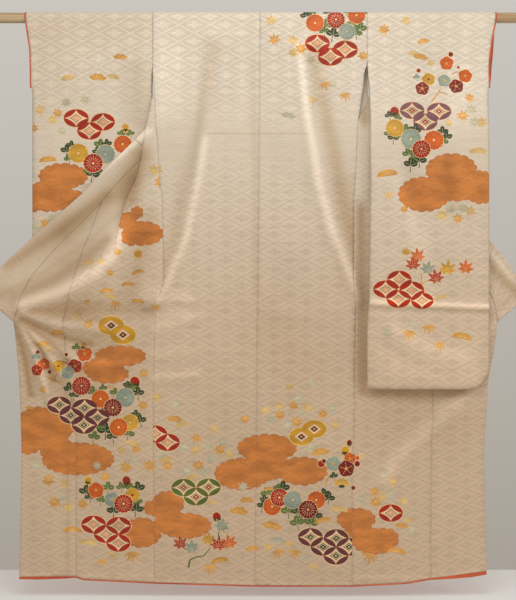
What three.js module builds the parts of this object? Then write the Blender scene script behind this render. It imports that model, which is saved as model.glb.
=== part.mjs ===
// Furisode kimono hung by its sleeves on a round rod, seen from the back.
// Millimetres. X runs along the rod, Y points away from the side that is seen, Z is up.
// The origin is the middle of the rod. "left" is the side of negative X.
//
// Every cloth piece is a thin wall laid on a middle surface. The surface is worked out row
// by row from the tables below: each row is one height, each column of a table one edge,
// fold or depth, and rows between two entries are interpolated.
import * as THREE from "three";

// ---- driving sizes -------------------------------------------------------------------
const ROD_DIAMETER = 30;
const ROD_LENGTH = 1800;
const ROD_SIDES = 16;
const SEAM = 0.3;            // clearance between two pieces that are sewn together
const WALL = 1.6;            // lined silk of body, okumi and sleeves
const COLLAR_WALL = 2.4;     // collar, folded double
const OVERCOLLAR_WALL = 1.2;
const NECK_HALF = 87;        // half the neck slit
const NECK_EASE = 4.2;       // the collar stands this far off where it turns at the neck
const FOLD_NOSE = 3;         // how far a turned fold's nose reaches past its layers
const FOLD_HALF_GAP = 3;     // half the distance between the layers at a turned fold
const ARMHOLE_END = -141;    // the sleeve is sewn on down to here
const ARMPIT = -304;         // front and back are sewn together from here down
const CUFF_END = -217;       // the cuff is open down to here
const SLEEVE_BOTTOM = -1083;
const SLEEVE_CORNER = 66;    // radius of the sleeve's rounded outer corner
const HEM = -1654;           // lowest point of the hem, at the centre seam
const HEM_EASE = -1000;      // rows start to follow the hem's curve from here down
const FOLD_END = -725;       // the lapel's turned folds have run out here
const KENSAKI = -544;        // tip of the okumi, where it meets the collar
const COLLAR_END = -889;     // lower end of the collar seam

const HANG_RADIUS = ROD_DIAMETER / 2 + SEAM + WALL / 2;

// ---- tables --------------------------------------------------------------------------
const table = (columns, rows) =>
  rows.map((row) => Object.fromEntries(columns.map((name, i) => [name, row[i]])));

// Rows of the body, from the rod to the hem.
const LEVELS = [
  -40, -80, -120, -141, -170, -199, -234, -269, -304, -353, -398, -442, -500, -544, -600,
  -660, -720, -760, -817, -850, -889, -940, -1000, -1081, -1180, -1280, -1377, -1470,
  -1560, -1654,
];

// Rows of a sleeve, from the rod to the bottom seam.
const SLEEVE_LEVELS = [
  -40, -80, -120, -141, -170, -199, -217, -240, -270, -304, -353, -420, -500, -590, -680,
  -770, -815, -835, -855, -920, -1000, -1030, -1055, -1073, -1083,
];

// Back panels: side edge (armhole, then side seam) and depth of the cloth.
const BACK = {
  left: table(["z", "side"], [
    [0, -307], [-170, -307], [-199, -304], [-304, -299], [-353, -294], [-442, -288],
    [-536, -279], [-681, -275], [-775, -275], [-850, -299], [-1115, -304], [HEM, -301],
  ]),
  right: table(["z", "side"], [
    [0, 318], [-141, 318], [-164, 309], [-199, 306.5], [-256, 298], [-304, 291],
    [-442, 285], [-536, 278], [-775, 278], [-850, 284], [-1081, 281], [-1322, 273],
    [HEM, 273],
  ]),
  depth: table(["z", "y"], [
    [0, -HANG_RADIUS], [-60, -16.5], [-141, -17.5], [-234, -23], [-304, -27],
    [-420, -28], [HEM, -28],
  ]),
};

// Front panels. side: edge that meets the back. foldA: outer turn of the lapel.
// foldB: inner turn, behind the back panel. depths ySide, yA and yB are those of the side
// edge and of the two noses. The third edge is the collar seam or the okumi seam.
const FRONT = {
  left: table(["z", "side", "foldA", "foldB", "ySide", "yA", "yB"], [
    [0, -307, -262, -94, 16.1, 16.1, 16.1],
    [-40, -307, -262, -89, 16.1, 16.1, 18],
    [-80, -307, -264, -94, 16, 16, 20],
    [-141, -305, -270, -106, 15, 13, 18],
    [-170, -303.5, -276, -113, 4, 4, 16],
    [-199, -303.5, -289, -122, -14, -9, 13],
    [-234, -301, -311, -136, -22, -20, 9],
    [-269, -300, -317, -152, -25, -23, 4],
    [-304, -299, -323, -171, -27, -24, -1],
    [-353, -294, -333, -203, -27.5, -24, -6],
    [-420, -289, -342, -255, -28, -24, -12],
    [-478, -284, -357, -307, -28, -24, -15],
    [-536, -279, -386, -357, -28, -24.5, -18],
    [-608, -276, -404, -387, -28, -25, -20],
    [-681, -275, -419, -410, -28, -25.5, -22],
    [-730, -275, -428, -440, -28, -25, -24],
    [-850, -299, -400, -480, -28, -27, -27],
    [-1081, -304, -380, -460, -28, -28, -28],
    [HEM, -301, -375, -455, -28, -28, -28],
  ]),
  right: table(["z", "side", "foldA", "foldB", "ySide", "yA", "yB"], [
    [0, 318, 270, 94, 16.1, 16.1, 16.1],
    [-40, 318, 270, 89, 16.1, 16.1, 18],
    [-80, 318, 270, 94, 16, 16, 20],
    [-141, 317.5, 272, 106, 15, 14, 18],
    [-170, 320, 276, 113, 12, 10, 16],
    [-199, 322, 296, 122, 8, 5, 13],
    [-234, 323, 331, 136, -5, -3, 9],
    [-269, 308, 334, 152, -18, -13, 4],
    [-304, 291, 335, 171, -27, -20, -1],
    [-353, 289, 338, 200, -27.5, -23, -6],
    [-420, 286, 344, 250, -28, -23, -12],
    [-478, 283, 354, 300, -28, -24, -15],
    [-536, 278, 378, 350, -28, -24.5, -18],
    [-608, 278, 397, 380, -28, -25, -20],
    [-681, 278, 412, 403, -28, -25.5, -22],
    [-730, 278, 421, 433, -28, -25, -24],
    [-850, 284, 380, 460, -28, -27, -27],
    [-1081, 281, 355, 430, -28, -28, -28],
    [HEM, 273, 350, 428, -28, -28, -28],
  ]),
};

// Okumi seam, from the okumi's tip to the hem.
const OKUMI_SEAM = {
  left: table(["z", "x"], [
    [KENSAKI, -458], [-600, -478], [-681, -510], [-733, -526], [-826, -554],
    [COLLAR_END, -568], [-976, -560], [-1081, -545], [-1232, -528], [HEM, -528],
  ]),
  right: table(["z", "x"], [
    [KENSAKI, 452], [-600, 470], [-681, 498], [-733, 512], [-826, 530],
    [COLLAR_END, 536], [-976, 520], [-1081, 508], [-1232, 503], [HEM, 500],
  ]),
};

// Free edge of the okumi, from the collar's end to the hem.
const OKUMI_EDGE = {
  left: table(["z", "x"], [
    [COLLAR_END, -710], [-921, -706], [-976, -700], [-1031, -694], [-1116, -690],
    [-1272, -686], [-1487, -689], [HEM, -693],
  ]),
  right: table(["z", "x"], [
    [COLLAR_END, 696], [-976, 684], [-1058, 668], [-1200, 660], [-1295, 655],
    [-1535, 660], [HEM, 664],
  ]),
};

// Collar on one front: z, seamX, seamY follow its seam; edgeX, edgeY, edgeZ its folded edge.
const COLLAR = {
  left: table(["z", "seamX", "seamY", "edgeX", "edgeY", "edgeZ"], [
    [-12, -89.4, 17.6, -101, 57, -34],
    [-40, -95, 21, -132, 52, -42],
    [-80, -109, 23.5, -153, 42, -58],
    [-141, -136, 22.5, -184, 27, -113],
    [-199, -168, 15, -213, 19, -166],
    [-234, -191, 9, -237, 13, -202],
    [-304, -241, -3, -285, -5, -272],
    [-353, -281, -11, -324, -15, -322],
    [-398, -322, -14, -361, -16.5, -362],
    [-442, -368, -15, -404, -17, -404],
    [-500, -424, -15.5, -462, -17, -463],
    [-544, -459.5, -16, -497, -17, -503],
    [-600, -514, -17.5, -552, -18, -552],
    [-660, -575, -19, -620, -19, -612],
    [-698, -609, -20, -658, -19, -645],
    [-759, -661, -22, -705, -20, -690],
    [-817, -690, -24, -748, -20, -730],
    [-850, -700, -25, -778, -21, -765],
    [COLLAR_END, -710, -26, -802, -22, -816],
  ]),
  right: table(["z", "seamX", "seamY", "edgeX", "edgeY", "edgeZ"], [
    [-12, 89.4, 17.6, 101, 57, -34],
    [-40, 95, 21, 132, 52, -42],
    [-80, 109, 23.5, 153, 42, -58],
    [-141, 136, 22.5, 184, 27, -113],
    [-199, 168, 15, 213, 19, -166],
    [-234, 191, 9, 237, 13, -202],
    [-304, 238, -3, 282, 0, -272],
    [-353, 277, -11, 320, -10, -322],
    [-398, 317, -14, 356, -16.5, -362],
    [-442, 362, -15, 399, -17, -404],
    [-500, 417, -15.5, 457, -17, -463],
    [-544, 453.5, -16, 494, -17, -503],
    [-600, 506, -17.5, 552, -18, -552],
    [-660, 566, -19, 624, -19, -610],
    [-698, 598, -20, 664, -19, -640],
    [-759, 649, -22, 707, -20, -688],
    [-817, 677, -24, 740, -20, -738],
    [-850, 687, -25, 765, -21, -775],
    [COLLAR_END, 696, -26, 788, -22, -814],
  ]),
};

// Collar round the back of the neck: seam and folded edge at each distance from the centre.
const COLLAR_NECK = table(["x", "seamY", "seamZ", "edgeX", "edgeY", "edgeZ"], [
  [0, 16.9, -0.3, 0, 25, -52],
  [45, 16.9, -0.3, 47, 29, -51],
  [76, 17.1, -0.8, 84, 44, -44],
]);

// The overcollar ends here on both fronts, measured at the collar seam.
const OVERCOLLAR_END = -398;

// Sleeves. inner: armhole edge, then the free inner edge. nearEdge and farEdge: outer edge
// of the two layers at the cuff. yNear and yFar: their depths.
const SLEEVE = {
  left: table(["z", "inner", "nearEdge", "farEdge", "yNear", "yFar"], [
    [0, -307, -677, -677, -16.1, 16.1],
    [-47, -307, -670, -668, -16.4, 16],
    [-98, -307, -662, -660, -17, 15.5],
    [-141, -307, -661, -659, -17.5, 15],
    [-170, -309, -661, -659, -15, 14.5],
    [-199, -310, -661, -660, -13, 14],
    [-217, -310, -661, -661, -11.5, 14],
    [-240, -310, -661, -661, -10, 13.5],
    [-304, -309, -661, -661, -8, 13],
    [-420, -308, -661, -661, -6, 12],
    [-680, -308, -661, -661, -5, 11],
    [-1000, -308, -660, -660, -4, 9],
    [SLEEVE_BOTTOM, -308, -660, -660, -3, 8],
  ]),
  right: table(["z", "inner", "nearEdge", "farEdge", "yNear", "yFar"], [
    [0, 318, 692, 694, -16.1, 16.1],
    [-22, 318, 689, 692, -16.2, 16.1],
    [-68, 318, 679, 690, -16.8, 16],
    [-118, 318, 673, 686, -17.3, 15.5],
    [-141, 318, 671, 683, -17.5, 15],
    [-170, 319.5, 670, 680, -22, 6],
    [-199, 322, 670, 675, -27.5, -4],
    [-217, 323, 670, 670, -31, -10],
    [-240, 324, 668, 668, -35.5, -18],
    [-304, 325, 667, 667, -47, -33],
    [-353, 323.5, 666, 666, -53, -41],
    [-478, 324.5, 665.5, 665.5, -56, -43.5],
    [-811, 321, 665.5, 665.5, -57, -44.5],
    [-907, 315, 665.5, 665.5, -57, -44.5],
    [SLEEVE_BOTTOM, 315, 665.5, 665.5, -56, -44],
  ]),
};

// Hem line from free edge to free edge, and how far the padded hem roll shows below it.
const HEM_LINE = table(["x", "z", "roll"], [
  [-693, -1629, 7], [-640, -1628, 9], [-560, -1627, 7], [-528, -1627.5, 4],
  [-507, -1635, 4], [-301, -1645, 4], [0, -1654, 4], [273, -1654, 4],
  [430, -1646, 4], [500, -1633, 5], [560, -1626, 9], [620, -1618, 12], [664, -1612, 10],
]);

// Largest folds: soft ridges towards the viewer (height > 0) or away (height < 0) along a
// line of x, z points, each with its own half width.
const FOLDS = [
  { height: 9, width: 17, line: [[-125, -40], [-154, -246], [-168, -478], [-212, -681],
    [-270, -797], [-313, -830]] },
  { height: -5, width: 24, line: [[-166, -60], [-198, -246], [-214, -478], [-250, -640],
    [-285, -720]] },
  { height: 9, width: 18, line: [[122, -101], [157, -246], [177, -486], [209, -573],
    [238, -634], [267, -684], [285, -765], [292, -840]] },
  { height: -5, width: 20, line: [[196, -180], [214, -420], [246, -560], [275, -640]] },
  { height: -8, width: 16, line: [[305, -560], [303, -820], [299, -1060]] },
  { height: 7, width: 20, line: [[-690, -842], [-560, -790], [-450, -712]] },
  { height: -4, width: 26, line: [[-660, -905], [-540, -850], [-400, -815], [-330, -850]] },
  { height: 6, width: 22, line: [[690, -842], [560, -790], [450, -712]] },
  { height: 6, width: 22, line: [[539, -1180], [460, -1250], [383, -1324]] },
  { height: 4, width: 20, line: [[-420, -1210], [-330, -1290], [-250, -1340]] },
  { height: 4, width: 18, line: [[60, -860], [150, -880], [230, -850]] },
  { height: 3.5, width: 26, line: [[-90, -1000], [-70, -1250], [-96, -1560]] },
  { height: 3.5, width: 24, line: [[120, -1060], [150, -1300], [128, -1560]] },
  { height: 4, width: 22, line: [[-610, -1180], [-622, -1400], [-606, -1600]] },
  { height: 4, width: 22, line: [[585, -1240], [602, -1420], [590, -1590]] },
];

// Folds of the sleeves, as for the body; the first is the crease left by folding.
const SLEEVE_FOLDS = {
  left: [
    { height: 3, width: 9, line: [[-308, -835], [-661, -842]] },
    { height: 4, width: 24, line: [[-600, -260], [-585, -620], [-600, -1000]] },
    { height: 3, width: 26, line: [[-380, -420], [-400, -720], [-380, -1000]] },
  ],
  right: [
    { height: 3.5, width: 9, line: [[316, -830], [666, -846]] },
    { height: 3, width: 26, line: [[600, -250], [560, -560], [585, -1000]] },
    { height: -2, width: 24, line: [[520, -120], [500, -420], [470, -760]] },
    { height: 2.5, width: 24, line: [[380, -330], [400, -640], [380, -1000]] },
  ],
};

const COLOURS = {
  cloth: { color: 0xdccbb0, roughness: 0.55, metalness: 0 },
  front: { color: 0xd3bf9f, roughness: 0.55, metalness: 0 },
  sleeve: { color: 0xe0d2ba, roughness: 0.55, metalness: 0 },
  collar: { color: 0xcdb48e, roughness: 0.55, metalness: 0 },
  lining: { color: 0xb4502c, roughness: 0.6, metalness: 0 },
  wood: { color: 0xc8af8c, roughness: 0.5, metalness: 0 },
};

// ---- interpolation -------------------------------------------------------------------
const clamp01 = (t) => Math.min(1, Math.max(0, t));
const smooth = (t) => t * t * (3 - 2 * t);

// Value of a column at key value `at`, along a table sorted by its key.
function lookup(rows, key, name, at) {
  const down = rows[0][key] > rows[rows.length - 1][key];
  for (let i = 1; i < rows.length; i += 1) {
    const reached = down ? rows[i][key] <= at : rows[i][key] >= at;
    if (reached || i === rows.length - 1) {
      const a = rows[i - 1];
      const b = rows[i];
      const t = clamp01((at - a[key]) / (b[key] - a[key]));
      return a[name] + (b[name] - a[name]) * t;
    }
  }
  return rows[0][name];
}

const byHeight = (rows, name, z) => lookup(rows, "z", name, z);

// Distance from (x, z) to a segment.
function segmentDistance(x, z, [ax, az], [bx, bz]) {
  const dx = bx - ax;
  const dz = bz - az;
  const t = clamp01(((x - ax) * dx + (z - az) * dz) / (dx * dx + dz * dz));
  return Math.hypot(x - ax - t * dx, z - az - t * dz);
}

// Sum of the folds at (x, z), as a shift in Y: towards the viewer is negative.
function foldShift(folds, x, z) {
  let shift = 0;
  for (const { height, width, line } of folds) {
    let near = Infinity;
    for (let i = 1; i < line.length; i += 1) {
      near = Math.min(near, segmentDistance(x, z, line[i - 1], line[i]));
    }
    shift -= height * Math.exp(-((near / width) ** 2) / 2);
  }
  return shift;
}

// ---- sheets --------------------------------------------------------------------------
// A sheet is a list of points and of triangles on its middle surface.
class Sheet {
  constructor() {
    this.points = [];
    this.triangles = [];
  }

  row(points) {
    return points.map((p) => this.points.push(p) - 1);
  }

  // Joins two rows of points, which may have different counts.
  zip(a, b) {
    let i = 0;
    let j = 0;
    while (i < a.length - 1 || j < b.length - 1) {
      const nextA = (i + 1) / (a.length - 1);
      const nextB = (j + 1) / (b.length - 1);
      if (j === b.length - 1 || (i < a.length - 1 && nextA <= nextB + 1e-9)) {
        this.add(a[i], a[i + 1], b[j]);
        i += 1;
      } else {
        this.add(a[i], b[j + 1], b[j]);
        j += 1;
      }
    }
  }

  add(p, q, r) {
    if (p !== q && q !== r && r !== p) {
      this.triangles.push([p, q, r]);
    }
  }

  normals() {
    const sum = this.points.map(() => new THREE.Vector3());
    for (const [p, q, r] of this.triangles) {
      const a = this.points[q].clone().sub(this.points[p]);
      const b = this.points[r].clone().sub(this.points[p]);
      const n = a.cross(b);
      sum[p].add(n);
      sum[q].add(n);
      sum[r].add(n);
    }
    return sum.map((n) => n.normalize());
  }

  // Closed wall of the given thickness, its middle `shift` off the sheet along the normal.
  wall(thickness, shift = 0) {
    const normals = this.normals();
    const count = this.points.length;
    const place = (offset) => this.points.map((p, i) =>
      p.clone().addScaledVector(normals[i], offset));
    const vertices = [...place(shift + thickness / 2), ...place(shift - thickness / 2)];
    const faces = [];
    const edges = new Map();
    for (const [p, q, r] of this.triangles) {
      faces.push(p, q, r, r + count, q + count, p + count);
      for (const [a, b] of [[p, q], [q, r], [r, p]]) {
        edges.set(`${a},${b}`, [a, b]);
      }
    }
    for (const [a, b] of edges.values()) {
      if (!edges.has(`${b},${a}`)) {
        faces.push(b, a, a + count, b, a + count, b + count);
      }
    }
    const geometry = new THREE.BufferGeometry();
    const flat = vertices.flatMap((v) => [v.x, v.y, v.z]);
    geometry.setAttribute("position", new THREE.Float32BufferAttribute(flat, 3));
    geometry.setIndex(faces);
    geometry.computeVertexNormals();
    return geometry;
  }
}

const point = (x, y, z) => new THREE.Vector3(x, y, z);
const spread = (from, to, count) =>
  Array.from({ length: count + 1 }, (_, i) => from + ((to - from) * i) / count);

const SIGN = { left: -1, right: 1 };

// ---- shared surfaces -----------------------------------------------------------------
// Height of a body row at x: the lower rows ease into the hem's curve.
function rowHeight(z, x) {
  const t = smooth(clamp01((z - HEM_EASE) / (HEM - HEM_EASE)));
  return z + (lookup(HEM_LINE, "x", "z", x) - HEM) * t;
}

const bodyPoint = (x, y, z) => point(x, y + foldShift(FOLDS, x, z), rowHeight(z, x));
const centreSeam = (z) => 6 - (16 * z) / HEM;

// Outer edge of a front at height z: the collar seam down to the okumi's tip, then the
// okumi seam.
const collarSeam = (side, z) => byHeight(COLLAR[side], "seamX", z);
const collarDepth = (side, z) => (z > COLLAR_END
  ? byHeight(COLLAR[side], "seamY", z)
  : -26 - 2 * clamp01((COLLAR_END - z) / 100));
const frontEdge = (side, z) => (z > KENSAKI
  ? collarSeam(side, z)
  : byHeight(OKUMI_SEAM[side], "x", z));

// ---- body panels ---------------------------------------------------------------------
// One length of cloth from the back hem, over the rod, to the front hem.
function backRow(side, z) {
  const from = centreSeam(z) + (SIGN[side] * SEAM) / 2;
  const to = byHeight(BACK[side], "side", z);
  const neck = SIGN[side] * NECK_HALF;
  const y = byHeight(BACK.depth, "y", z);
  const across = [...spread(from, neck, 2), ...spread(neck, to, 5).slice(1)];
  return across.map((x) => bodyPoint(x, y, z));
}

// Points over the rod, at an angle of 0 at the near side and 180 degrees at the far side.
function overRod(x, degrees) {
  const a = THREE.MathUtils.degToRad(degrees);
  return point(x, -HANG_RADIUS * Math.cos(a), HANG_RADIUS * Math.sin(a));
}

// Side to fold A, back to fold B, out again to the collar or okumi seam. Where the two
// folds have run out, the same points lie in order on a flat panel.
function frontRow(side, z) {
  const t = (name) => byHeight(FRONT[side], name, z);
  const sewn = z <= ARMPIT;
  const sideX = sewn ? byHeight(BACK[side], "side", z) + SIGN[side] * SEAM : t("side");
  const a = t("foldA");
  const b = t("foldB");
  const c = frontEdge(side, z);
  const turned = z < -225 && z > FOLD_END;
  const turnedB = z < -30 && z > FOLD_END;
  const gapA = turned ? FOLD_HALF_GAP : 0;
  const gapB = turnedB ? FOLD_HALF_GAP : 0;
  const yA = t("yA");
  const yB = t("yB");
  const nose = (x, towards) => x + FOLD_NOSE * Math.sign(towards - x);
  const mix = (u, v, f) => u + (v - u) * f;
  const aIn = nose(a, sideX);
  const aOut = nose(a, b);
  const bIn = nose(b, a);
  const bOut = nose(b, c);
  const yC = collarDepth(side, z);
  const flat = [
    [sideX, t("ySide")],
    [mix(sideX, aIn, 0.34), mix(t("ySide"), yA - gapA, 0.34)],
    [mix(sideX, aIn, 0.67), mix(t("ySide"), yA - gapA, 0.67)],
    [aIn, yA - gapA],
    [a, yA],
    [aOut, yA + gapA],
    [mix(aOut, bIn, 0.5), mix(yA + gapA, yB - gapB, 0.5)],
    [bIn, yB - gapB],
    [b, yB],
    [bOut, yB + gapB],
    [mix(bOut, c, 0.5), mix(yB + gapB, yC, 0.5)],
    [c, yC],
  ];
  const lying = z < FOLD_END;
  return flat.map(([x, y], i) => {
    const outerLayer = lying || i < 4 || i > 9;
    const shift = outerLayer && z <= ARMPIT ? foldShift(FOLDS, x, z) : 0;
    return point(x, y + shift, rowHeight(z, x));
  });
}

function bodySheet(side) {
  const sheet = new Sheet();
  const back = [...LEVELS].reverse().map((z) => sheet.row(backRow(side, z)));
  const top = backRow(side, 0).map((p) => p.x);
  const wrap = spread(0, 180, ROD_SIDES / 2).map((a) =>
    sheet.row(top.map((x) => overRod(x, a))));
  const rows = [...back, ...wrap];
  for (let i = 1; i < rows.length; i += 1) {
    sheet.zip(rows[i - 1], rows[i]);
  }
  const shoulder = wrap[wrap.length - 1].slice(2);
  const front = LEVELS.map((z) => sheet.row(frontRow(side, z).reverse()));
  sheet.zip(shoulder, front[0]);
  for (let i = 1; i < front.length; i += 1) {
    sheet.zip(front[i - 1], front[i]);
  }
  return sheet;
}

// ---- okumi ---------------------------------------------------------------------------
function okumiRow(side, z) {
  const seam = byHeight(OKUMI_SEAM[side], "x", z) + SIGN[side] * SEAM;
  const edge = z > COLLAR_END ? collarSeam(side, z) : byHeight(OKUMI_EDGE[side], "x", z);
  const y = collarDepth(side, z);
  return spread(seam, edge, 4).map((x) => bodyPoint(x, y, z));
}

function okumiSheet(side) {
  const sheet = new Sheet();
  const rows = LEVELS.filter((z) => z <= KENSAKI).map((z) => sheet.row(okumiRow(side, z)));
  for (let i = 1; i < rows.length; i += 1) {
    sheet.zip(rows[i - 1], rows[i]);
  }
  return sheet;
}

// ---- collar --------------------------------------------------------------------------
// Stations along the collar, from the left end, round the neck, to the right end.
function collarStations() {
  const lapel = (side) => [-12, ...LEVELS].filter((z) => z >= COLLAR_END).map((z) => {
    const c = (name) => byHeight(COLLAR[side], name, z);
    const x = z > -20 ? c("seamX") : collarSeam(side, z);
    const shift = z <= ARMPIT ? foldShift(FOLDS, x, z) : 0;
    return {
      z,
      seam: point(x, c("seamY") + shift, z),
      edge: point(c("edgeX"), c("edgeY") + shift, c("edgeZ")),
    };
  });
  const neck = (sign) => COLLAR_NECK.map((r) => ({
    z: 0,
    seam: point(sign * r.x, r.seamY, r.seamZ),
    edge: point(sign * r.edgeX, r.edgeY, r.edgeZ),
  }));
  return [
    ...lapel("left").reverse(), ...neck(-1).reverse(), ...neck(1).slice(1),
    ...lapel("right"),
  ];
}

function collarSheet(keep) {
  const sheet = new Sheet();
  const rows = collarStations().filter(keep).map(({ z, seam, edge }) => {
    const across = edge.clone().sub(seam).normalize();
    const clear = z < 0 && z > -150 ? (z > -60 ? NECK_EASE : SEAM + COLLAR_WALL / 2) : SEAM;
    const start = seam.clone().addScaledVector(across, clear);
    const middle = start.clone().lerp(edge, 0.5);
    return sheet.row([start, middle, edge]);
  });
  for (let i = 1; i < rows.length; i += 1) {
    sheet.zip(rows[i - 1], rows[i]);
  }
  return sheet;
}

const collar = () => collarSheet(() => true).wall(COLLAR_WALL);
const overcollar = () => collarSheet(({ z }) => z >= OVERCOLLAR_END)
  .wall(OVERCOLLAR_WALL, -(COLLAR_WALL + OVERCOLLAR_WALL) / 2 - SEAM);

// ---- sleeves -------------------------------------------------------------------------
// Outer edge of a sleeve: the layer's own edge at the cuff, then the rounded corner.
function sleeveEdge(side, layer, z) {
  const edge = byHeight(SLEEVE[side], layer, z);
  const below = SLEEVE_BOTTOM + SLEEVE_CORNER - z;
  if (below <= 0) {
    return edge;
  }
  const drop = Math.min(below, SLEEVE_CORNER);
  const inward = SLEEVE_CORNER - Math.sqrt(SLEEVE_CORNER ** 2 - drop ** 2);
  return edge - SIGN[side] * inward;
}

// Columns of a sleeve row, from the armhole side to just inside the outer edge.
function sleeveColumns(side, layer, z) {
  const inner = byHeight(SLEEVE[side], "inner", z) + SIGN[side] * SEAM;
  const outer = sleeveEdge(side, layer, z);
  return [...spread(inner, outer - SIGN[side] * 9, 5), outer];
}

function sleeveRow(sheet, side, near, z) {
  const layer = near ? "nearEdge" : "farEdge";
  const y = byHeight(SLEEVE[side], near ? "yNear" : "yFar", z);
  return sheet.row(sleeveColumns(side, layer, z).map((x) => {
    const sway = clamp01((ARMHOLE_END - z) / 120) * foldShift(SLEEVE_FOLDS[side], x, z);
    return point(x, y + sway, z);
  }));
}

function sleeveSheet(side) {
  const sheet = new Sheet();
  const near = SLEEVE_LEVELS.map((z) => sleeveRow(sheet, side, true, z));
  const far = SLEEVE_LEVELS.map((z) => sleeveRow(sheet, side, false, z));
  SLEEVE_LEVELS.forEach((z, i) => {
    const last = near[i].length - 1;
    const middle = (a, b) => sheet.points[a].lerp(sheet.points[b], 0.5);
    if (z <= CUFF_END) {
      middle(near[i][last], far[i][last]);
      far[i][last] = near[i][last];
    }
    if (z === SLEEVE_BOTTOM) {
      near[i].forEach((index, j) => {
        if (j < last) {
          middle(index, far[i][j]);
        }
        far[i][j] = index;
      });
    }
  });
  const edge = (degrees) => (degrees < 90 ? "nearEdge" : "farEdge");
  const wrap = spread(0, 180, ROD_SIDES / 2).map((a) =>
    sheet.row(sleeveColumns(side, edge(a), 0).map((x) => overRod(x, a))));
  const rows = [...near.reverse(), ...wrap, ...far];
  for (let i = 1; i < rows.length; i += 1) {
    sheet.zip(rows[i - 1], rows[i]);
  }
  const used = new Set(sheet.triangles.flat());
  const index = new Map([...used].map((old, i) => [old, i]));
  sheet.points = [...used].map((old) => sheet.points[old]);
  sheet.triangles = sheet.triangles.map((t) => t.map((old) => index.get(old)));
  return sheet;
}

// Rolled lining edge round the cuff opening, beyond the sleeve's own edge.
function cuffEdge(side) {
  const sheet = new Sheet();
  const width = 4;
  const strip = (x, p) => sheet.row([x, x + SIGN[side] * width].map((u) => p(u)));
  const open = SLEEVE_LEVELS.filter((z) => z > CUFF_END);
  const rows = [];
  for (const z of [...open].reverse()) {
    const y = byHeight(SLEEVE[side], "yNear", z);
    const sway = clamp01((ARMHOLE_END - z) / 120);
    const x = sleeveEdge(side, "nearEdge", z);
    const shift = sway * foldShift(SLEEVE_FOLDS[side], x, z);
    rows.push(strip(x + SIGN[side] * SEAM, (u) => point(u, y + shift, z)));
  }
  for (const a of spread(0, 180, ROD_SIDES / 2)) {
    const x = sleeveEdge(side, a < 90 ? "nearEdge" : "farEdge", 0);
    rows.push(strip(x + SIGN[side] * SEAM, (u) => overRod(u, a)));
  }
  for (const z of open) {
    const y = byHeight(SLEEVE[side], "yFar", z);
    const sway = clamp01((ARMHOLE_END - z) / 120);
    const x = sleeveEdge(side, "farEdge", z);
    const shift = sway * foldShift(SLEEVE_FOLDS[side], x, z);
    rows.push(strip(x + SIGN[side] * SEAM, (u) => point(u, y + shift, z)));
  }
  for (let i = 1; i < rows.length; i += 1) {
    sheet.zip(rows[i - 1], rows[i]);
  }
  return sheet;
}

// ---- hem roll ------------------------------------------------------------------------
// Padded roll of the lining that shows below the hem of one half.
function hemRoll(side) {
  const sheet = new Sheet();
  const across = [backRow(side, HEM), frontRow(side, HEM), okumiRow(side, HEM)]
    .flatMap((row) => row.map((p) => p.x));
  const rows = across.map((x) => {
    const y = -28 + foldShift(FOLDS, x, HEM);
    const z = lookup(HEM_LINE, "x", "z", x) - SEAM;
    const drop = lookup(HEM_LINE, "x", "roll", x);
    return sheet.row([point(x, y, z), point(x, y + 0.6, z - drop)]);
  });
  for (let i = 1; i < rows.length; i += 1) {
    sheet.zip(rows[i - 1], rows[i]);
  }
  return sheet;
}

// ---- rod -----------------------------------------------------------------------------
function rod() {
  const geometry = new THREE.CylinderGeometry(
    ROD_DIAMETER / 2, ROD_DIAMETER / 2, ROD_LENGTH, ROD_SIDES);
  geometry.rotateZ(Math.PI / 2);
  return geometry;
}

// ---- assembly ------------------------------------------------------------------------
const group = new THREE.Group();
group.name = "furisode_on_rod";

function piece(name, geometry, colour) {
  const mesh = new THREE.Mesh(geometry, new THREE.MeshStandardMaterial(COLOURS[colour]));
  mesh.name = name;
  group.add(mesh);
}

piece("rod", rod(), "wood");
for (const side of ["left", "right"]) {
  piece(`body_${side}`, bodySheet(side).wall(WALL), "cloth");
  piece(`okumi_${side}`, okumiSheet(side).wall(WALL), "front");
  piece(`sleeve_${side}`, sleeveSheet(side).wall(WALL), "sleeve");
  piece(`cuff_edge_${side}`, cuffEdge(side).wall(1.8), "lining");
  piece(`hem_roll_${side}`, hemRoll(side).wall(3), "lining");
}
piece("collar", collar(), "collar");
piece("overcollar", overcollar(), "collar");

export default group;
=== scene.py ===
import math

import bpy
import numpy as np
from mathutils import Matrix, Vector
from mathutils.geometry import delaunay_2d_cdt


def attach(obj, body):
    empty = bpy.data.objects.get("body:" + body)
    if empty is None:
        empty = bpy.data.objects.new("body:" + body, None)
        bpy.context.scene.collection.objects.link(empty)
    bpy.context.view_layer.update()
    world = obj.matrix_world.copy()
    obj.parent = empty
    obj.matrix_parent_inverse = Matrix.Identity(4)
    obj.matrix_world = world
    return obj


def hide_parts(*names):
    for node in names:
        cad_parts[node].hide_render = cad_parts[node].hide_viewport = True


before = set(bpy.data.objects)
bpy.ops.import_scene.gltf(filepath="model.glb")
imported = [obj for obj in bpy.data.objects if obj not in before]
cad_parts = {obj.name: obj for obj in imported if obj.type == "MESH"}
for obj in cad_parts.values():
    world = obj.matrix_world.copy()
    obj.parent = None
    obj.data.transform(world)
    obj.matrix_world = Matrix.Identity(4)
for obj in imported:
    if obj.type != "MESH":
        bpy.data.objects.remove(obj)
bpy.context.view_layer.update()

bl_info = {
    "name": "Hanging furisode",
    "version": (1, 0, 0),
    "blender": (4, 5, 0),
    "location": "View3D > Sidebar > Furisode",
    "description": "Builds a long-sleeved kimono hung on a rod, with its weave and dyed pattern",
    "category": "Add Mesh",
}

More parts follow.
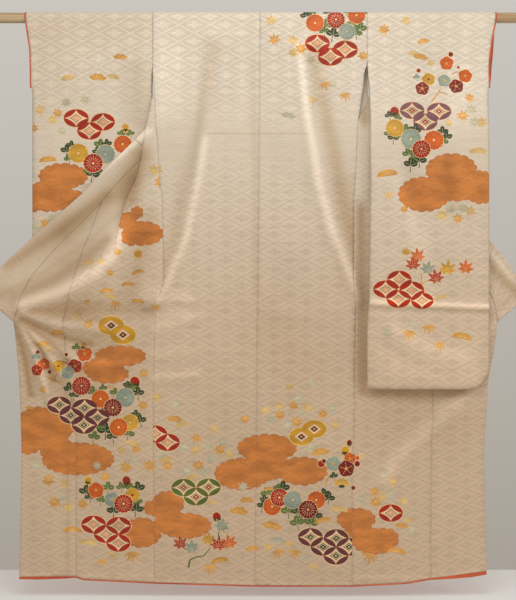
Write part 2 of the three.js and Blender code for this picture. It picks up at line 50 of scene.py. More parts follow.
# ---- sizes, in millimetres, as the cloth hangs -----------------------------------------
ROD_RADIUS = 15.0
ROD_HALF = 900.0
ROD_GAP = 0.3
SEAM = 0.3
TIGHT_SEAM = 0.06
SOLID_WALL = 1.6
WALL = 1.0
COLLAR_LAYER = 0.8
COLLAR_HALF_GAP = 0.75
OVERCOLLAR_LAYER = 0.6
NECK_HALF = 87.0
NECK_EASE = 4.2
ARMHOLE_END = -141.0
ARMPIT = -304.0
CUFF_END = -217.0
SLEEVE_BOTTOM = -1083.0
SLEEVE_CORNER = 66.0
HEM = -1654.0
HEM_EASE = -1000.0
FOLD_END = -725.0
KENSAKI = -544.0
COLLAR_END = -889.0
OVERCOLLAR_END = -398.0
FOLD_HALF_GAP = 3.0
HANG_RADIUS = ROD_RADIUS + ROD_GAP + SOLID_WALL / 2
OVER = math.pi * HANG_RADIUS
TUCK_HEIGHT = -345.0
HEM_DEPTH = -28.0
ORANGE_RISE = 620.0
ORANGE_CUFF = 75.0
STITCH_PITCH, STITCH_LENGTH, STITCH_HALF = 9.5, 4.2, 0.7
CUFF_ROLL_HALF_WIDE, CUFF_ROLL_HALF_HIGH = 0.9, 2.0
MM = 0.001
ROLL_SIDES = 12
COLLAR_STEPS = 22
COLLAR_PITCH = 7.0
INNER_TONE = 0.96
# Five readings and their weights, which round off a corner in a table.
SOFT = ((-1, 0.12), (-0.5, 0.23), (0, 0.3), (0.5, 0.23), (1, 0.12))

SIGN = {"left": -1.0, "right": 1.0}

# Back panels: z, side edge.  Depth of the cloth: z, y.
BACK = {
    "left": np.array([
        [0, -307], [-170, -307], [-199, -304], [-304, -299], [-353, -294], [-442, -288],
        [-536, -279], [-681, -275], [-775, -275], [-850, -299], [-1115, -304], [HEM, -301],
    ], float),
    "right": np.array([
        [0, 318], [-141, 318], [-164, 309], [-199, 306.5], [-256, 298], [-304, 291],
        [-442, 285], [-536, 278], [-775, 278], [-850, 284], [-1081, 281], [-1322, 273],
        [HEM, 273],
    ], float),
}
BACK_DEPTH = np.array([
    [0, -HANG_RADIUS], [-60, -16.5], [-141, -17.5], [-234, -23], [-304, -27], [-420, -28],
    [HEM, -28],
], float)

# Front panels: z, side, fold A, fold B, then the depth of each.
FRONT = {
    "left": np.array([
        [0, -307, -262, -94, 16.1, 16.1, 16.1],
        [-40, -307, -262, -89, 16.1, 16.1, 18],
        [-80, -307, -264, -94, 16, 16, 20],
        [-141, -305, -270, -106, 15, 13, 18],
        [-170, -303.5, -276, -113, 4, 4, 16],
        [-199, -303.5, -289, -122, -14, -9, 13],
        [-234, -301, -311, -136, -22, -20, 9],
        [-269, -300, -317, -152, -25, -23, 4],
        [-304, -299, -323, -171, -27, -24, -1],
        [-353, -294, -333, -203, -27.5, -24, -6],
        [-420, -289, -342, -255, -28, -24, -12],
        [-478, -284, -357, -307, -28, -24, -15],
        [-536, -279, -386, -357, -28, -24.5, -18],
        [-608, -276, -404, -387, -28, -25, -20],
        [-681, -275, -419, -410, -28, -25.5, -22],
        [-730, -275, -428, -440, -28, -25, -24],
        [-850, -299, -400, -480, -28, -27, -27],
        [-1081, -304, -380, -460, -28, -28, -28],
        [HEM, -301, -375, -455, -28, -28, -28],
    ], float),
    "right": np.array([
        [0, 318, 270, 94, 16.1, 16.1, 16.1],
        [-40, 318, 270, 89, 16.1, 16.1, 18],
        [-80, 318, 270, 94, 16, 16, 20],
        [-141, 317.5, 272, 106, 15, 14, 18],
        [-170, 320, 276, 113, 12, 10, 16],
        [-199, 322, 296, 122, 8, 5, 13],
        [-234, 323, 331, 136, -5, -3, 9],
        [-269, 308, 334, 152, -18, -13, 4],
        [-304, 291, 335, 171, -27, -20, -1],
        [-353, 289, 338, 200, -27.5, -23, -6],
        [-420, 286, 344, 250, -28, -23, -12],
        [-478, 283, 354, 300, -28, -24, -15],
        [-536, 278, 378, 350, -28, -24.5, -18],
        [-608, 278, 397, 380, -28, -25, -20],
        [-681, 278, 412, 403, -28, -25.5, -22],
        [-730, 278, 421, 433, -28, -25, -24],
        [-850, 284, 380, 460, -28, -27, -27],
        [-1081, 281, 355, 430, -28, -28, -28],
        [HEM, 273, 350, 428, -28, -28, -28],
    ], float),
}

# Okumi seam and free edge: z, x.
OKUMI_SEAM = {
    "left": np.array([
        [KENSAKI, -458], [-600, -478], [-681, -510], [-733, -526], [-826, -554],
        [COLLAR_END, -568], [-976, -560], [-1081, -545], [-1232, -528], [HEM, -528],
    ], float),
    "right": np.array([
        [KENSAKI, 452], [-600, 470], [-681, 498], [-733, 512], [-826, 530],
        [COLLAR_END, 536], [-976, 520], [-1081, 508], [-1232, 503], [HEM, 500],
    ], float),
}
OKUMI_EDGE = {
    "left": np.array([
        [COLLAR_END, -710], [-921, -706], [-976, -700], [-1031, -694], [-1116, -690],
        [-1272, -686], [-1487, -689], [HEM, -693],
    ], float),
    "right": np.array([
        [COLLAR_END, 696], [-976, 684], [-1058, 668], [-1200, 660], [-1295, 655],
        [-1535, 660], [HEM, 664],
    ], float),
}

# Collar on each front: z, seam x, seam y, edge x, edge y, edge z.
COLLAR = {
    "left": np.array([
        [-12, -89.4, 17.6, -101, 57, -34],
        [-40, -95, 21, -132, 52, -42],
        [-80, -109, 23.5, -153, 42, -58],
        [-141, -136, 22.5, -184, 27, -113],
        [-199, -168, 15, -213, 19, -166],
        [-234, -191, 9, -237, 13, -202],
        [-304, -241, -3, -285, -5, -272],
        [-353, -281, -11, -324, -15, -322],
        [-398, -322, -14, -361, -16.5, -362],
        [-442, -368, -15, -404, -17, -404],
        [-500, -424, -15.5, -462, -17, -463],
        [-544, -459.5, -16, -497, -17, -503],
        [-600, -514, -17.5, -552, -18, -552],
        [-660, -575, -19, -620, -19, -612],
        [-698, -609, -20, -658, -19, -645],
        [-759, -661, -22, -705, -20, -690],
        [-817, -690, -24, -748, -20, -730],
        [-850, -700, -25, -778, -21, -765],
        [COLLAR_END, -710, -26, -802, -22, -816],
    ], float),
    "right": np.array([
        [-12, 89.4, 17.6, 101, 57, -34],
        [-40, 95, 21, 132, 52, -42],
        [-80, 109, 23.5, 153, 42, -58],
        [-141, 136, 22.5, 184, 27, -113],
        [-199, 168, 15, 213, 19, -166],
        [-234, 191, 9, 237, 13, -202],
        [-304, 238, -3, 282, 0, -272],
        [-353, 277, -11, 320, -10, -322],
        [-398, 317, -14, 356, -16.5, -362],
        [-442, 362, -15, 399, -17, -404],
        [-500, 417, -15.5, 457, -17, -463],
        [-544, 453.5, -16, 494, -17, -503],
        [-600, 506, -17.5, 552, -18, -552],
        [-660, 566, -19, 624, -19, -610],
        [-698, 598, -20, 664, -19, -640],
        [-759, 649, -22, 707, -20, -688],
        [-817, 677, -24, 740, -20, -738],
        [-850, 687, -25, 765, -21, -775],
        [COLLAR_END, 696, -26, 788, -22, -814],
    ], float),
}
# Collar round the neck: x, seam y, seam z, edge x, edge y, edge z.
COLLAR_NECK = np.array([
    [0, 16.9, -0.3, 0, 25, -52],
    [45, 16.9, -0.3, 47, 29, -51],
    [76, 17.1, -0.8, 84, 44, -44],
], float)

# Sleeves: z, inner edge, near outer edge, far outer edge, near depth, far depth.
SLEEVE = {
    "left": np.array([
        [0, -307, -677, -677, -16.1, 16.1],
        [-47, -307, -670, -668, -16.4, 16],
        [-98, -307, -662, -660, -17, 15.5],
        [-141, -307, -661, -659, -17.5, 15],
        [-170, -309, -661, -659, -15, 14.5],
        [-199, -310, -661, -660, -13, 14],
        [-217, -310, -661, -661, -11.5, 14],
        [-240, -310, -661, -661, -10, 13.5],
        [-304, -309, -661, -661, -8, 13],
        [-420, -308, -661, -661, -6, 12],
        [-680, -308, -661, -661, -5, 11],
        [-1000, -308, -660, -660, -4, 9],
        [SLEEVE_BOTTOM, -308, -660, -660, -3, 8],
    ], float),
    "right": np.array([
        [0, 318, 692, 694, -16.1, 16.1],
        [-22, 318, 689, 692, -16.2, 16.1],
        [-68, 318, 679, 690, -16.8, 16],
        [-118, 318, 673, 686, -17.3, 15.5],
        [-141, 318, 671, 683, -17.5, 15],
        [-170, 319.5, 670, 680, -22, 6],
        [-199, 322, 670, 675, -27.5, -4],
        [-217, 323, 670, 670, -31, -10],
        [-240, 324, 668, 668, -35.5, -18],
        [-304, 325, 667, 667, -47, -33],
        [-353, 323.5, 666, 666, -53, -41],
        [-478, 324.5, 665.5, 665.5, -56, -43.5],
        [-811, 321, 665.5, 665.5, -57, -44.5],
        [-907, 315, 665.5, 665.5, -57, -44.5],
        [SLEEVE_BOTTOM, 315, 665.5, 665.5, -56, -44],
    ], float),
}

# Hem from free edge to free edge: x, z, how far the padded roll shows below.
HEM_LINE = np.array([
    [-693, -1629, 7], [-640, -1628, 9], [-560, -1627, 7], [-528, -1627.5, 4],
    [-507, -1635, 4], [-301, -1645, 4], [0, -1654, 4], [273, -1654, 4],
    [430, -1646, 4], [500, -1633, 5], [560, -1626, 9], [620, -1618, 12], [664, -1612, 10],
], float)

# Folds of body and fronts: height towards the back's outer side, half width, line of x, z.
FOLDS = [
    (9, 15, [[-125, -40], [-154, -246], [-168, -478], [-212, -681], [-270, -797], [-313, -830]]),
    (-6, 22, [[-140, -110], [-172, -275], [-200, -391], [-226, -507], [-256, -652], [-290, -782]]),
    (10, 15, [[120, -90], [142, -246], [160, -449], [197, -608], [252, -733], [292, -826]]),
    (-7, 22, [[152, -130], [174, -304], [196, -449], [240, -608], [276, -724]]),
    (-8, 16, [[305, -560], [303, -820], [299, -1060]]),
    (6, 13, [[-318, -842], [-262, -812], [-196, -826]]),
    (-4, 12, [[-310, -862], [-240, -846], [-180, -850]]),
    (5, 11, [[-304, -915], [-240, -885], [-170, -880]]),
    (5, 11, [[-304, -1058], [-240, -1050], [-180, -1044]]),
    (4, 12, [[-314, -985], [-240, -975], [-180, -962]]),
    (10, 26, [[-682, -836], [-574, -768], [-473, -686], [-415, -617]]),
    (-6, 20, [[-690, -862], [-560, -850], [-440, -842], [-300, -858]]),
    (7, 11, [[-684, -866], [-574, -896], [-444, -910]]),
    (8, 9, [[-688, -884], [-618, -970], [-568, -1036], [-530, -1120]]),
    (8, 9, [[-696, -884], [-650, -971], [-612, -1087], [-600, -1160]]),
    (-6, 9, [[-688, -888], [-632, -968], [-590, -1062]]),
    (-6, 9, [[-694, -905], [-674, -1010], [-655, -1110]]),
    (5, 10, [[-650, -930], [-560, -985], [-470, -1010], [-380, -1010]]),
    (-5, 10, [[-690, -880], [-589, -928], [-487, -955]]),
    (8, 22, [[690, -842], [560, -790], [450, -712]]),
    (9, 20, [[592, -1116], [499, -1197], [412, -1275], [368, -1342]]),
    (-5, 26, [[560, -1110], [450, -1130], [380, -1170]]),
    (4, 20, [[-420, -1210], [-330, -1290], [-250, -1340]]),
    (4, 18, [[60, -860], [150, -880], [230, -850]]),
    (3.5, 26, [[-90, -1000], [-70, -1250], [-96, -1560]]),
    (3.5, 24, [[120, -1060], [150, -1300], [128, -1560]]),
    (2.5, 18, [[-60, -60], [-66, -420], [-52, -800]]),
    (2.5, 18, [[74, -60], [70, -420], [90, -780]]),
    (4, 22, [[-610, -1180], [-622, -1400], [-606, -1600]]),
    (4, 22, [[585, -1240], [602, -1420], [590, -1590]]),
]
SLEEVE_FOLDS = {
    "left": [
        (3.5, 8, [[-308, -835], [-661, -842]]),
        (4, 24, [[-600, -260], [-585, -620], [-600, -1000]]),
        (3, 26, [[-380, -420], [-400, -720], [-380, -1000]]),
        (3.5, 26, [[-352, -160], [-344, -300], [-390, -420]]),
        (-3, 22, [[-470, -60], [-500, -260], [-460, -420]]),
    ],
    "right": [
        (4.5, 8, [[316, -828], [666, -842]]),
        (-3, 9, [[316, -850], [666, -864]]),
        (4, 24, [[600, -250], [560, -560], [585, -1000]]),
        (-3, 22, [[540, -120], [562, -420], [540, -620]]),
        (4, 20, [[406, -500], [450, -650], [493, -820]]),
        (-3, 20, [[440, -440], [452, -560], [520, -760]]),
        (3, 22, [[380, -900], [460, -960], [600, -1030]]),
        (3, 24, [[380, -330], [350, -640], [372, -1000]]),
    ],
}

# Painted highlights and shade where the satin turns to the light or away, on ridges, valleys,
# recesses, the hem and under the right sleeve, with one thin dark line low on the left front: gain,
# half width, line of x, z.
BODY_PAINTED_LIGHT = [
    (0.30, 8, [[-154, -362], [-174, -478], [-206, -637], [-264, -776], [-313, -840]]),
    (-0.15, 16, [[-130, -100], [-157, -260], [-186, -391], [-215, -507], [-249, -652],
                 [-284, -782]]),
    (0.20, 8, [[-313, -840], [-270, -820], [-197, -826]]),
    (0.34, 9, [[119, -86], [140, -275], [163, -391], [178, -486], [212, -608], [262, -733],
               [300, -826]]),
    (-0.24, 17, [[162, -130], [200, -304], [222, -400], [236, -486], [264, -608], [296, -700]]),
    (-0.34, 12, [[298, -565], [303, -826], [303, -1080]]),
    (-0.10, 34, [[270, -500], [262, -760]]),
    (0.12, 4, [[-528, -1624], [-300, -1640], [0, -1648], [273, -1648], [430, -1640]]),
    (0.14, 7, [[-304, -1052], [-180, -1040]]),
    (0.16, 8, [[-300, -913], [-197, -878]]),
    (0.10, 8, [[-313, -991], [-183, -971]]),
    (-0.10, 60, [[40, -900], [120, -1000]]),
    (0.10, 28, [[-255, -120], [-270, -280]]),
    (-0.10, 9, [[-12, -120], [-6, -800]]),
]
WING_PAINTED_LIGHT = [
    (-0.26, 17, [[-690, -864], [-458, -850], [-284, -862]]),
    (0.66, 13, [[-684, -838], [-574, -800], [-473, -745], [-423, -695], [-397, -640]]),
    (0.12, 16, [[-400, -600], [-480, -640], [-600, -730], [-700, -790]]),
    (-0.15, 60, [[-610, -640], [-500, -740], [-610, -830]]),
    (-0.20, 50, [[-520, -880], [-440, -960]]),
    (-0.16, 60, [[-640, -960], [-560, -1090], [-470, -1150]]),
    (-0.22, 24, [[-322, -590], [-340, -700], [-372, -800]]),
    (-0.26, 14, [[-440, -650], [-500, -700], [-600, -770], [-700, -815]]),
    (-0.46, 24, [[-342, -405], [-362, -470], [-376, -520]]),
    (-0.30, 26, [[-380, -470], [-450, -540], [-560, -625]]),
    (-0.30, 13, [[-440, -520], [-574, -622], [-725, -722]]),
    (0.44, 7, [[-316, -334], [-400, -402], [-516, -492], [-632, -600]]),
    (-0.18, 9, [[-371, -545], [-487, -650], [-632, -752], [-748, -812]]),
    (0.20, 16, [[592, -1116], [499, -1197], [412, -1275], [368, -1342]]),
    (-0.10, 60, [[383, -1170], [528, -1165]]),
    (-0.34, 12, [[300, -565], [304, -826], [304, -1090]]),
    (-0.42, 14, [[302, -150], [308, -300]]),
    (-0.14, 3, [[-551, -1300], [-551, -1620]]),
    (-0.30, 12, [[345, -1094], [470, -1098], [590, -1092]]),
    (0.42, 6, [[-696, -878], [-650, -971], [-612, -1087]]),
    (-0.42, 6, [[-706, -898], [-677, -1000], [-661, -1101]]),
    (-0.40, 6, [[-690, -890], [-632, -965], [-594, -1060]]),
    (0.34, 7, [[-684, -866], [-574, -896], [-444, -910]]),
    (-0.38, 7, [[-690, -876], [-589, -928], [-487, -955]]),
    (0.40, 6, [[-690, -886], [-618, -970], [-568, -1036]]),
    (-0.34, 6, [[-690, -884], [-600, -950], [-530, -1020]]),
    (0.28, 7, [[-650, -930], [-560, -985], [-470, -1010], [-380, -1010]]),
    (-0.16, 10, [[-560, -1010], [-480, -1045], [-420, -1050]]),
    (0.12, 9, [[-640, -1120], [-560, -1100], [-440, -1120]]),
    (-0.30, 11, [[752, -806], [694, -748], [655, -700]]),
    (0.20, 5, [[745, -775], [700, -715], [664, -672]]),
    (0.14, 7, [[748, -845], [690, -880], [667, -930]]),
    (0.12, 4, [[-690, -1622], [-528, -1624], [500, -1630], [664, -1608]]),
]
# Curve where the left front turns over and its unfigured side is seen: -x, z.
TURN_CURVE = np.array([
    [313, -327], [345, -391], [360, -478], [386, -579], [409, -637], [473, -716], [574, -826],
    [690, -858],
], float)
# Painted highlights and shade on the sleeves: a bright crease line with shade under it, lit ridges
# and shaded valleys: gain, half width, line of x, z.
SLEEVE_PAINTED_LIGHT = [
    (0.70, 5, [[322, -832], [661, -844]]),
    (-0.20, 6, [[322, -845], [661, -858]]),
    (0.10, 22, [[406, -507], [455, -652], [493, -826]]),
    (-0.14, 16, [[435, -449], [447, -550]]),
    (-0.14, 14, [[542, -420], [563, -565]]),
    (0.08, 40, [[615, -43], [571, -304]]),
    (0.14, 12, [[390, -905], [470, -960], [600, -985]]),
    (0.14, 60, [[380, -960], [600, -960]]),
    (0.16, 30, [[400, -1020], [600, -1040]]),
    (-0.08, 16, [[360, -930], [430, -1000], [560, -1030]]),
    (-0.16, 30, [[-357, -159], [-342, -304]]),
    (-0.12, 70, [[-620, -30], [-360, -30]]),
    (-0.08, 70, [[-640, -60], [-600, -220]]),
]


# ---- curves and folds ------------------------------------------------------------------
def clamp01(t):
    """t held between 0 and 1."""
    return np.clip(t, 0.0, 1.0)


def ease(t):
    """3 t squared less 2 t cubed, with t held between 0 and 1."""
    t = clamp01(t)
    return t * t * (3 - 2 * t)


def track(rows, column, z, soften=11.0):
    """A table's column at heights z: the mean of five straight-line readings round z."""
    keys = -rows[:, 0]
    total = 0.0
    for shift, weight in SOFT:
        total = total + weight * np.interp(-z + shift * soften, keys, rows[:, column])
    return total


def line_distance(x, z, line):
    """Shortest distance from each (x, z) to a line of straight pieces."""
    near = np.full(np.shape(x), 1e9)
    for (ax, az), (bx, bz) in zip(line[:-1], line[1:]):
        dx, dz = bx - ax, bz - az
        t = clamp01(((x - ax) * dx + (z - az) * dz) / (dx * dx + dz * dz))
        near = np.minimum(near, np.hypot(x - ax - t * dx, z - az - t * dz))
    return near


def fold_shift(folds, x, z):
    """Sum over the folds of -height times exp of -(distance / width) squared / 2."""
    shift = np.zeros(np.shape(x))
    for height, width, line in folds:
        shift -= height * np.exp(-((line_distance(x, z, line) / width) ** 2) / 2)
    return shift


def hem_drop(z):
    """How much a row at z follows the hem's curve: 0 at HEM_EASE, 1 at the hem."""
    return ease((z - HEM_EASE) / (HEM - HEM_EASE))


def row_height(z, x):
    """Height of row z at x: z plus the hem's curve times hem_drop."""
    return z + (np.interp(x, HEM_LINE[:, 0], HEM_LINE[:, 1]) - HEM) * hem_drop(z)


def row_of(x, height):
    """The row whose height at x is the one given, by four steps of substitution."""
    lift = np.interp(x, HEM_LINE[:, 0], HEM_LINE[:, 1]) - HEM
    z = np.array(height, float)
    for _ in range(4):
        z = height - lift * hem_drop(z)
    return z


def seam_dip(distance):
    """A sewn edge turns in by 0.35 exp(-(distance / 3.2) squared)."""
    return 0.35 * np.exp(-((distance / 3.2) ** 2))


def slack(z):
    """1 where a seam hangs slack, low on the skirt, 0 where the weight pulls it flat."""
    return ease((-z - 1050) / 120)


def sewn_gap(z):
    """Gap at a front's seams: TIGHT_SEAM where it is pulled flat, SEAM where it is slack."""
    return TIGHT_SEAM + (SEAM - TIGHT_SEAM) * slack(z)


# ---- body panels -----------------------------------------------------------------------
def centre_seam(z):
    """The centre seam runs from x = 6 at the neck to x = -10 at the hem."""
    return 6 - 16 * z / HEM


def back_side(side, z):
    """x of a back panel's side edge."""
    return track(BACK[side], 1, z)


def collar_seam(side, z):
    """x of the collar's seam at height z."""
    return track(COLLAR[side], 1, z)


def collar_depth(side, z):
    """Depth of the cloth under the collar's seam, then of the okumi's free edge."""
    low = -26 - 2 * clamp01((COLLAR_END - z) / 100)
    return np.where(z > COLLAR_END, track(COLLAR[side], 2, z), low)


def front_edge(side, z):
    """Outer edge of a front: collar seam down to the okumi's tip, then okumi seam."""
    t = ease((KENSAKI + 12 - z) / 24)
    return collar_seam(side, z) * (1 - t) + track(OKUMI_SEAM[side], 1, z) * t


def back_point(side, x, z):
    """Back panel: depth by height, plus folds, the tuck's small step and turned seams."""
    fade = ease(-z / 60)
    y = track(BACK_DEPTH, 1, z) + fade * fold_shift(FOLDS, x, z)
    y = y + seam_dip(np.abs(x - centre_seam(z)))
    pull = 1 - 0.75 * ease((ARMPIT - z) / 60) * (1 - slack(z))
    y = y + seam_dip(np.abs(x - back_side(side, z))) * ease((-z - 20) / 40) * pull
    tuck = ease((z - TUCK_HEIGHT) / 2.5) * np.exp(-(((z - TUCK_HEIGHT - 4) / 16) ** 2))
    y = y - 1.1 * tuck * ease((160 - np.abs(x)) / 30)
    return np.stack([x, y, row_height(z, x)], -1)


def front_section(side, z):
    """Corners (x, y) of a front's cross-section and the cloth's length up to each."""
    s = SIGN[side]
    rows = FRONT[side]
    sewn = ease((ARMPIT + 10 - z) / 20)
    side_x = track(rows, 1, z) * (1 - sewn) + (back_side(side, z) + s * sewn_gap(z)) * sewn
    a = track(rows, 2, z)
    b = track(rows, 3, z)
    c = front_edge(side, z)
    y_side, y_a, y_b = (track(rows, i, z) for i in (4, 5, 6))
    over = s * (a - b)
    gap_a = FOLD_HALF_GAP * clamp01(over / 30) * clamp01(s * (a - side_x) / 24)
    gap_b = FOLD_HALF_GAP * clamp01(over / 30) * clamp01(s * (c - b) / 24)
    xs = np.stack([side_x, a, a, b, b, c], -1)
    ys = np.stack([y_side, y_a - gap_a, y_a + gap_a, y_b - gap_b, y_b + gap_b,
                   collar_depth(side, z)], -1)
    steps = np.maximum(np.hypot(np.diff(xs), np.diff(ys)), 1e-6)
    lengths = np.concatenate([np.zeros(np.shape(z) + (1,)), np.cumsum(steps, -1)], -1)
    return xs, ys, lengths


def front_width(side, z):
    """Width of the cloth of a front at height z, measured through its turned folds."""
    return front_section(side, np.asarray(z, float))[2][..., -1]


def along_section(xs, ys, lengths, q):
    """Point at length q along each section, by straight pieces between its corners."""
    q = np.clip(q, 0, lengths[..., -1])
    x = np.array(xs[..., 0])
    y = np.array(ys[..., 0])
    for k in range(xs.shape[-1] - 1):
        t = clamp01((q - lengths[..., k]) / (lengths[..., k + 1] - lengths[..., k]))
        x = x + t * (xs[..., k + 1] - xs[..., k])
        y = y + t * (ys[..., k + 1] - ys[..., k])
    return x, y


def front_point(side, q, z):
    """Front panel: its section averaged over 7 mm each way, plus folds on what lies open."""
    xs, ys, lengths = front_section(side, z)
    width = lengths[..., -1]
    room = np.minimum(7.0, np.minimum(np.maximum(q, 0), np.maximum(width - q, 0)))
    x, y = 0.0, 0.0
    for shift, weight in SOFT:
        px, py = along_section(xs, ys, lengths, q + shift * room)
        x = x + weight * px
        y = y + weight * py
    lying = ease((FOLD_END + 30 - z) / 60)
    first = 1 - ease((q - lengths[..., 1]) / 25)
    last = ease((q - lengths[..., 4]) / np.maximum(width - lengths[..., 4], 1e-6))
    share = np.maximum(np.maximum(first, last), lying) * ease((ARMPIT + 30 - z) / 60)
    y = y + share * fold_shift(FOLDS, x, z)
    pull = 0.25 + 0.75 * slack(z)
    y = y + seam_dip(q) * ease((ARMPIT - z) / 20) * pull + seam_dip(width - q) * lying * pull
    return np.stack([x, y, row_height(z, x)], -1)


def over_rod(x, arc):
    """Cloth on the rod: arc is its length from the near side, radius HANG_RADIUS."""
    angle = arc / HANG_RADIUS
    return np.stack([x, -HANG_RADIUS * np.cos(angle), HANG_RADIUS * np.sin(angle)], -1)


def near_over_far(v, near, wrap, far):
    """Points of one length of cloth: near side where v < 0, then the rod, then far side."""
    choice = np.where(v <= 0, 0, np.where(v < OVER, 1, 2))[..., None]
    return np.choose(choice, [near, wrap, far])


def body_surface(side):
    """One length of cloth, laid flat as (u, v): v < 0 is the back, then the rod, the front."""
    s = SIGN[side]
    side_top = BACK[side][0, 1]

    def surface(u, v):
        back = back_point(side, u, np.minimum(v, 0))
        wrap = over_rod(u, np.clip(v, 0, OVER))
        z = np.minimum(OVER - v, 0)
        front = front_point(side, s * (side_top - u), z)
        return near_over_far(v, back, wrap, front)

    return surface


def steps(start, stop, pitch):
    """Evenly spaced values from start to stop, no further apart than pitch."""
    count = max(1, int(math.ceil(abs(stop - start) / pitch)))
    return np.linspace(start, stop, count + 1)


def body_outline(side, pitch):
    """Edge of a body length laid flat, as an array of (u, v)."""
    s = SIGN[side]
    top = BACK[side][0, 1]
    down = steps(0, HEM, pitch)
    up = down[::-1]
    centre = centre_seam(up) + s * SEAM / 2
    neck = steps(centre[-1], s * NECK_HALF, pitch)
    width = front_width(side, down)
    hem = steps(width[-1], 0, pitch)
    arc = steps(0, OVER, pitch)
    back_hem = steps(back_side(side, np.array(HEM)), centre[0], pitch)
    parts = [
        (centre, up),
        (np.full(len(arc), centre[-1]), arc),
        (neck, np.full(len(neck), OVER)),
        (top - s * width, OVER - down),
        (top - s * hem, np.full(len(hem), OVER - HEM)),
        (np.full(len(up), top), OVER - up),
        (np.full(len(arc), top), arc[::-1]),
        (back_side(side, down), down),
        (back_hem, np.full(len(back_hem), HEM)),
    ]
    return join_outline(parts)


def join_outline(parts):
    """Joins pieces of outline and leaves out points that repeat."""
    line = np.concatenate([np.stack([np.asarray(u, float), np.asarray(v, float)], -1)
                           for u, v in parts])
    keep = np.hypot(*(line - np.roll(line, 1, axis=0)).T) > 0.05
    return turn_left(line[keep])


def turn_left(line):
    """The closed line in the order that keeps its inside on the left."""
    after = np.roll(line, -1, axis=0)
    area = np.sum(line[:, 0] * after[:, 1] - line[:, 1] * after[:, 0])
    return line if area > 0 else line[::-1]


# ---- okumi -----------------------------------------------------------------------------
def okumi_edges(side, z):
    """x of the okumi's seam and of its outer edge at height z."""
    seam = track(OKUMI_SEAM[side], 1, z) + SIGN[side] * sewn_gap(z)
    outer = np.where(z > COLLAR_END, collar_seam(side, z), track(OKUMI_EDGE[side], 1, z))
    return seam, outer


def okumi_surface(side):
    """Okumi as (x, z): depth by height, plus folds and a turned seam."""
    def surface(x, z):
        seam = okumi_edges(side, z)[0]
        y = collar_depth(side, z) + fold_shift(FOLDS, x, z)
        y = y + seam_dip(np.abs(x - seam)) * (0.25 + 0.75 * slack(z))
        return np.stack([x, y, row_height(z, x)], -1)

    return surface


def okumi_outline(side, pitch):
    """Edge of an okumi as an array of (x, z)."""
    down = steps(KENSAKI - 4, HEM, pitch)
    seam, outer = okumi_edges(side, down)
    hem = steps(seam[-1], outer[-1], pitch)
    top = steps(outer[0], seam[0], pitch)
    return join_outline([
        (seam, down),
        (hem, np.full(len(hem), HEM)),
        (outer[::-1], down[::-1]),
        (top, np.full(len(top), KENSAKI - 4)),
    ])


# ---- sleeves ---------------------------------------------------------------------------
def sleeve_edge(side, column, z):
    """Outer edge of a sleeve layer, with the rounded corner at the bottom."""
    edge = track(SLEEVE[side], column, z)
    drop = np.clip(SLEEVE_BOTTOM + SLEEVE_CORNER - z, 0, SLEEVE_CORNER)
    return edge - SIGN[side] * (SLEEVE_CORNER - np.sqrt(SLEEVE_CORNER ** 2 - drop ** 2))


def sleeve_inner(side, z):
    """Armhole edge of a sleeve, then its free inner edge."""
    return track(SLEEVE[side], 1, z) + SIGN[side] * SEAM


def sleeve_layer(side, near, x, z):
    """One layer of a sleeve: it closes on the other like a pillow at the sewn edges."""
    s = SIGN[side]
    y_near, y_far = track(SLEEVE[side], 4, z), track(SLEEVE[side], 5, z)
    middle, half = (y_near + y_far) / 2, (y_far - y_near) / 2
    edge = sleeve_edge(side, 2 if near else 3, z)
    out = np.maximum(s * (edge - x), 0)
    out = np.where(z <= CUFF_END, out, np.hypot(out, z - CUFF_END))
    gap = np.minimum(out, np.maximum(z - SLEEVE_BOTTOM, 0))
    swell = np.sqrt(np.maximum(1 - (1 - clamp01(gap / 18)) ** 2, 0))
    half = np.maximum(half * swell, 0.65)
    sway = ease((ARMHOLE_END - z) / 120) * fold_shift(SLEEVE_FOLDS[side], x, z)
    dip = seam_dip(np.abs(x - sleeve_inner(side, z))) * ease((z - ARMHOLE_END) / 10)
    y = middle + sway + np.where(near, -half + dip, half - dip)
    return np.stack([x, y, z + 0 * x], -1)


def sleeve_surface(side):
    """A sleeve laid flat as (u, v): v < 0 is the near layer, then the rod, the far layer."""
    def surface(u, v):
        near = sleeve_layer(side, True, u, np.minimum(v, 0))
        wrap = over_rod(u, np.clip(v, 0, OVER))
        far = sleeve_layer(side, False, u, np.minimum(OVER - v, 0))
        return near_over_far(v, near, wrap, far)

    return surface


def sleeve_outline(side, pitch):
    """Edge of a sleeve laid flat, as an array of (u, v)."""
    corner = SLEEVE_CORNER * (1 - np.sin(steps(0, math.pi / 2, 0.12)[1:]))
    down = np.concatenate([steps(0, SLEEVE_BOTTOM + SLEEVE_CORNER, pitch),
                           SLEEVE_BOTTOM + corner])
    up = down[::-1]
    inner_x = sleeve_inner(side, np.array(SLEEVE_BOTTOM))
    near = sleeve_edge(side, 2, down)
    far = sleeve_edge(side, 3, down)
    bottom = steps(inner_x, near[-1], pitch)
    arc = steps(0, OVER, pitch)
    return join_outline([
        (sleeve_inner(side, up), up),
        (np.full(len(arc), sleeve_inner(side, np.array(0.0))), arc),
        (sleeve_inner(side, down), OVER - down),
        (bottom, np.full(len(bottom), OVER - SLEEVE_BOTTOM)),
        (far[::-1], OVER - up),
        (near[0] + (far[0] - near[0]) * arc[::-1] / OVER, arc[::-1]),
        (near, down),
        (bottom[::-1], np.full(len(bottom), SLEEVE_BOTTOM)),
    ])


# ---- cloth meshes ----------------------------------------------------------------------
def inside(outline, points):
    """Whether each point lies inside the outline, by counting the edges it looks across."""
    x, y = points[:, 0], points[:, 1]
    found = np.zeros(len(points), bool)
    after = np.roll(outline, -1, axis=0)
    for (ax, ay), (bx, by) in zip(outline, after):
        if ay != by:
            cross = (ay > y) != (by > y)
            found ^= cross & (x < (bx - ax) * (y - ay) / (by - ay) + ax)
    return found


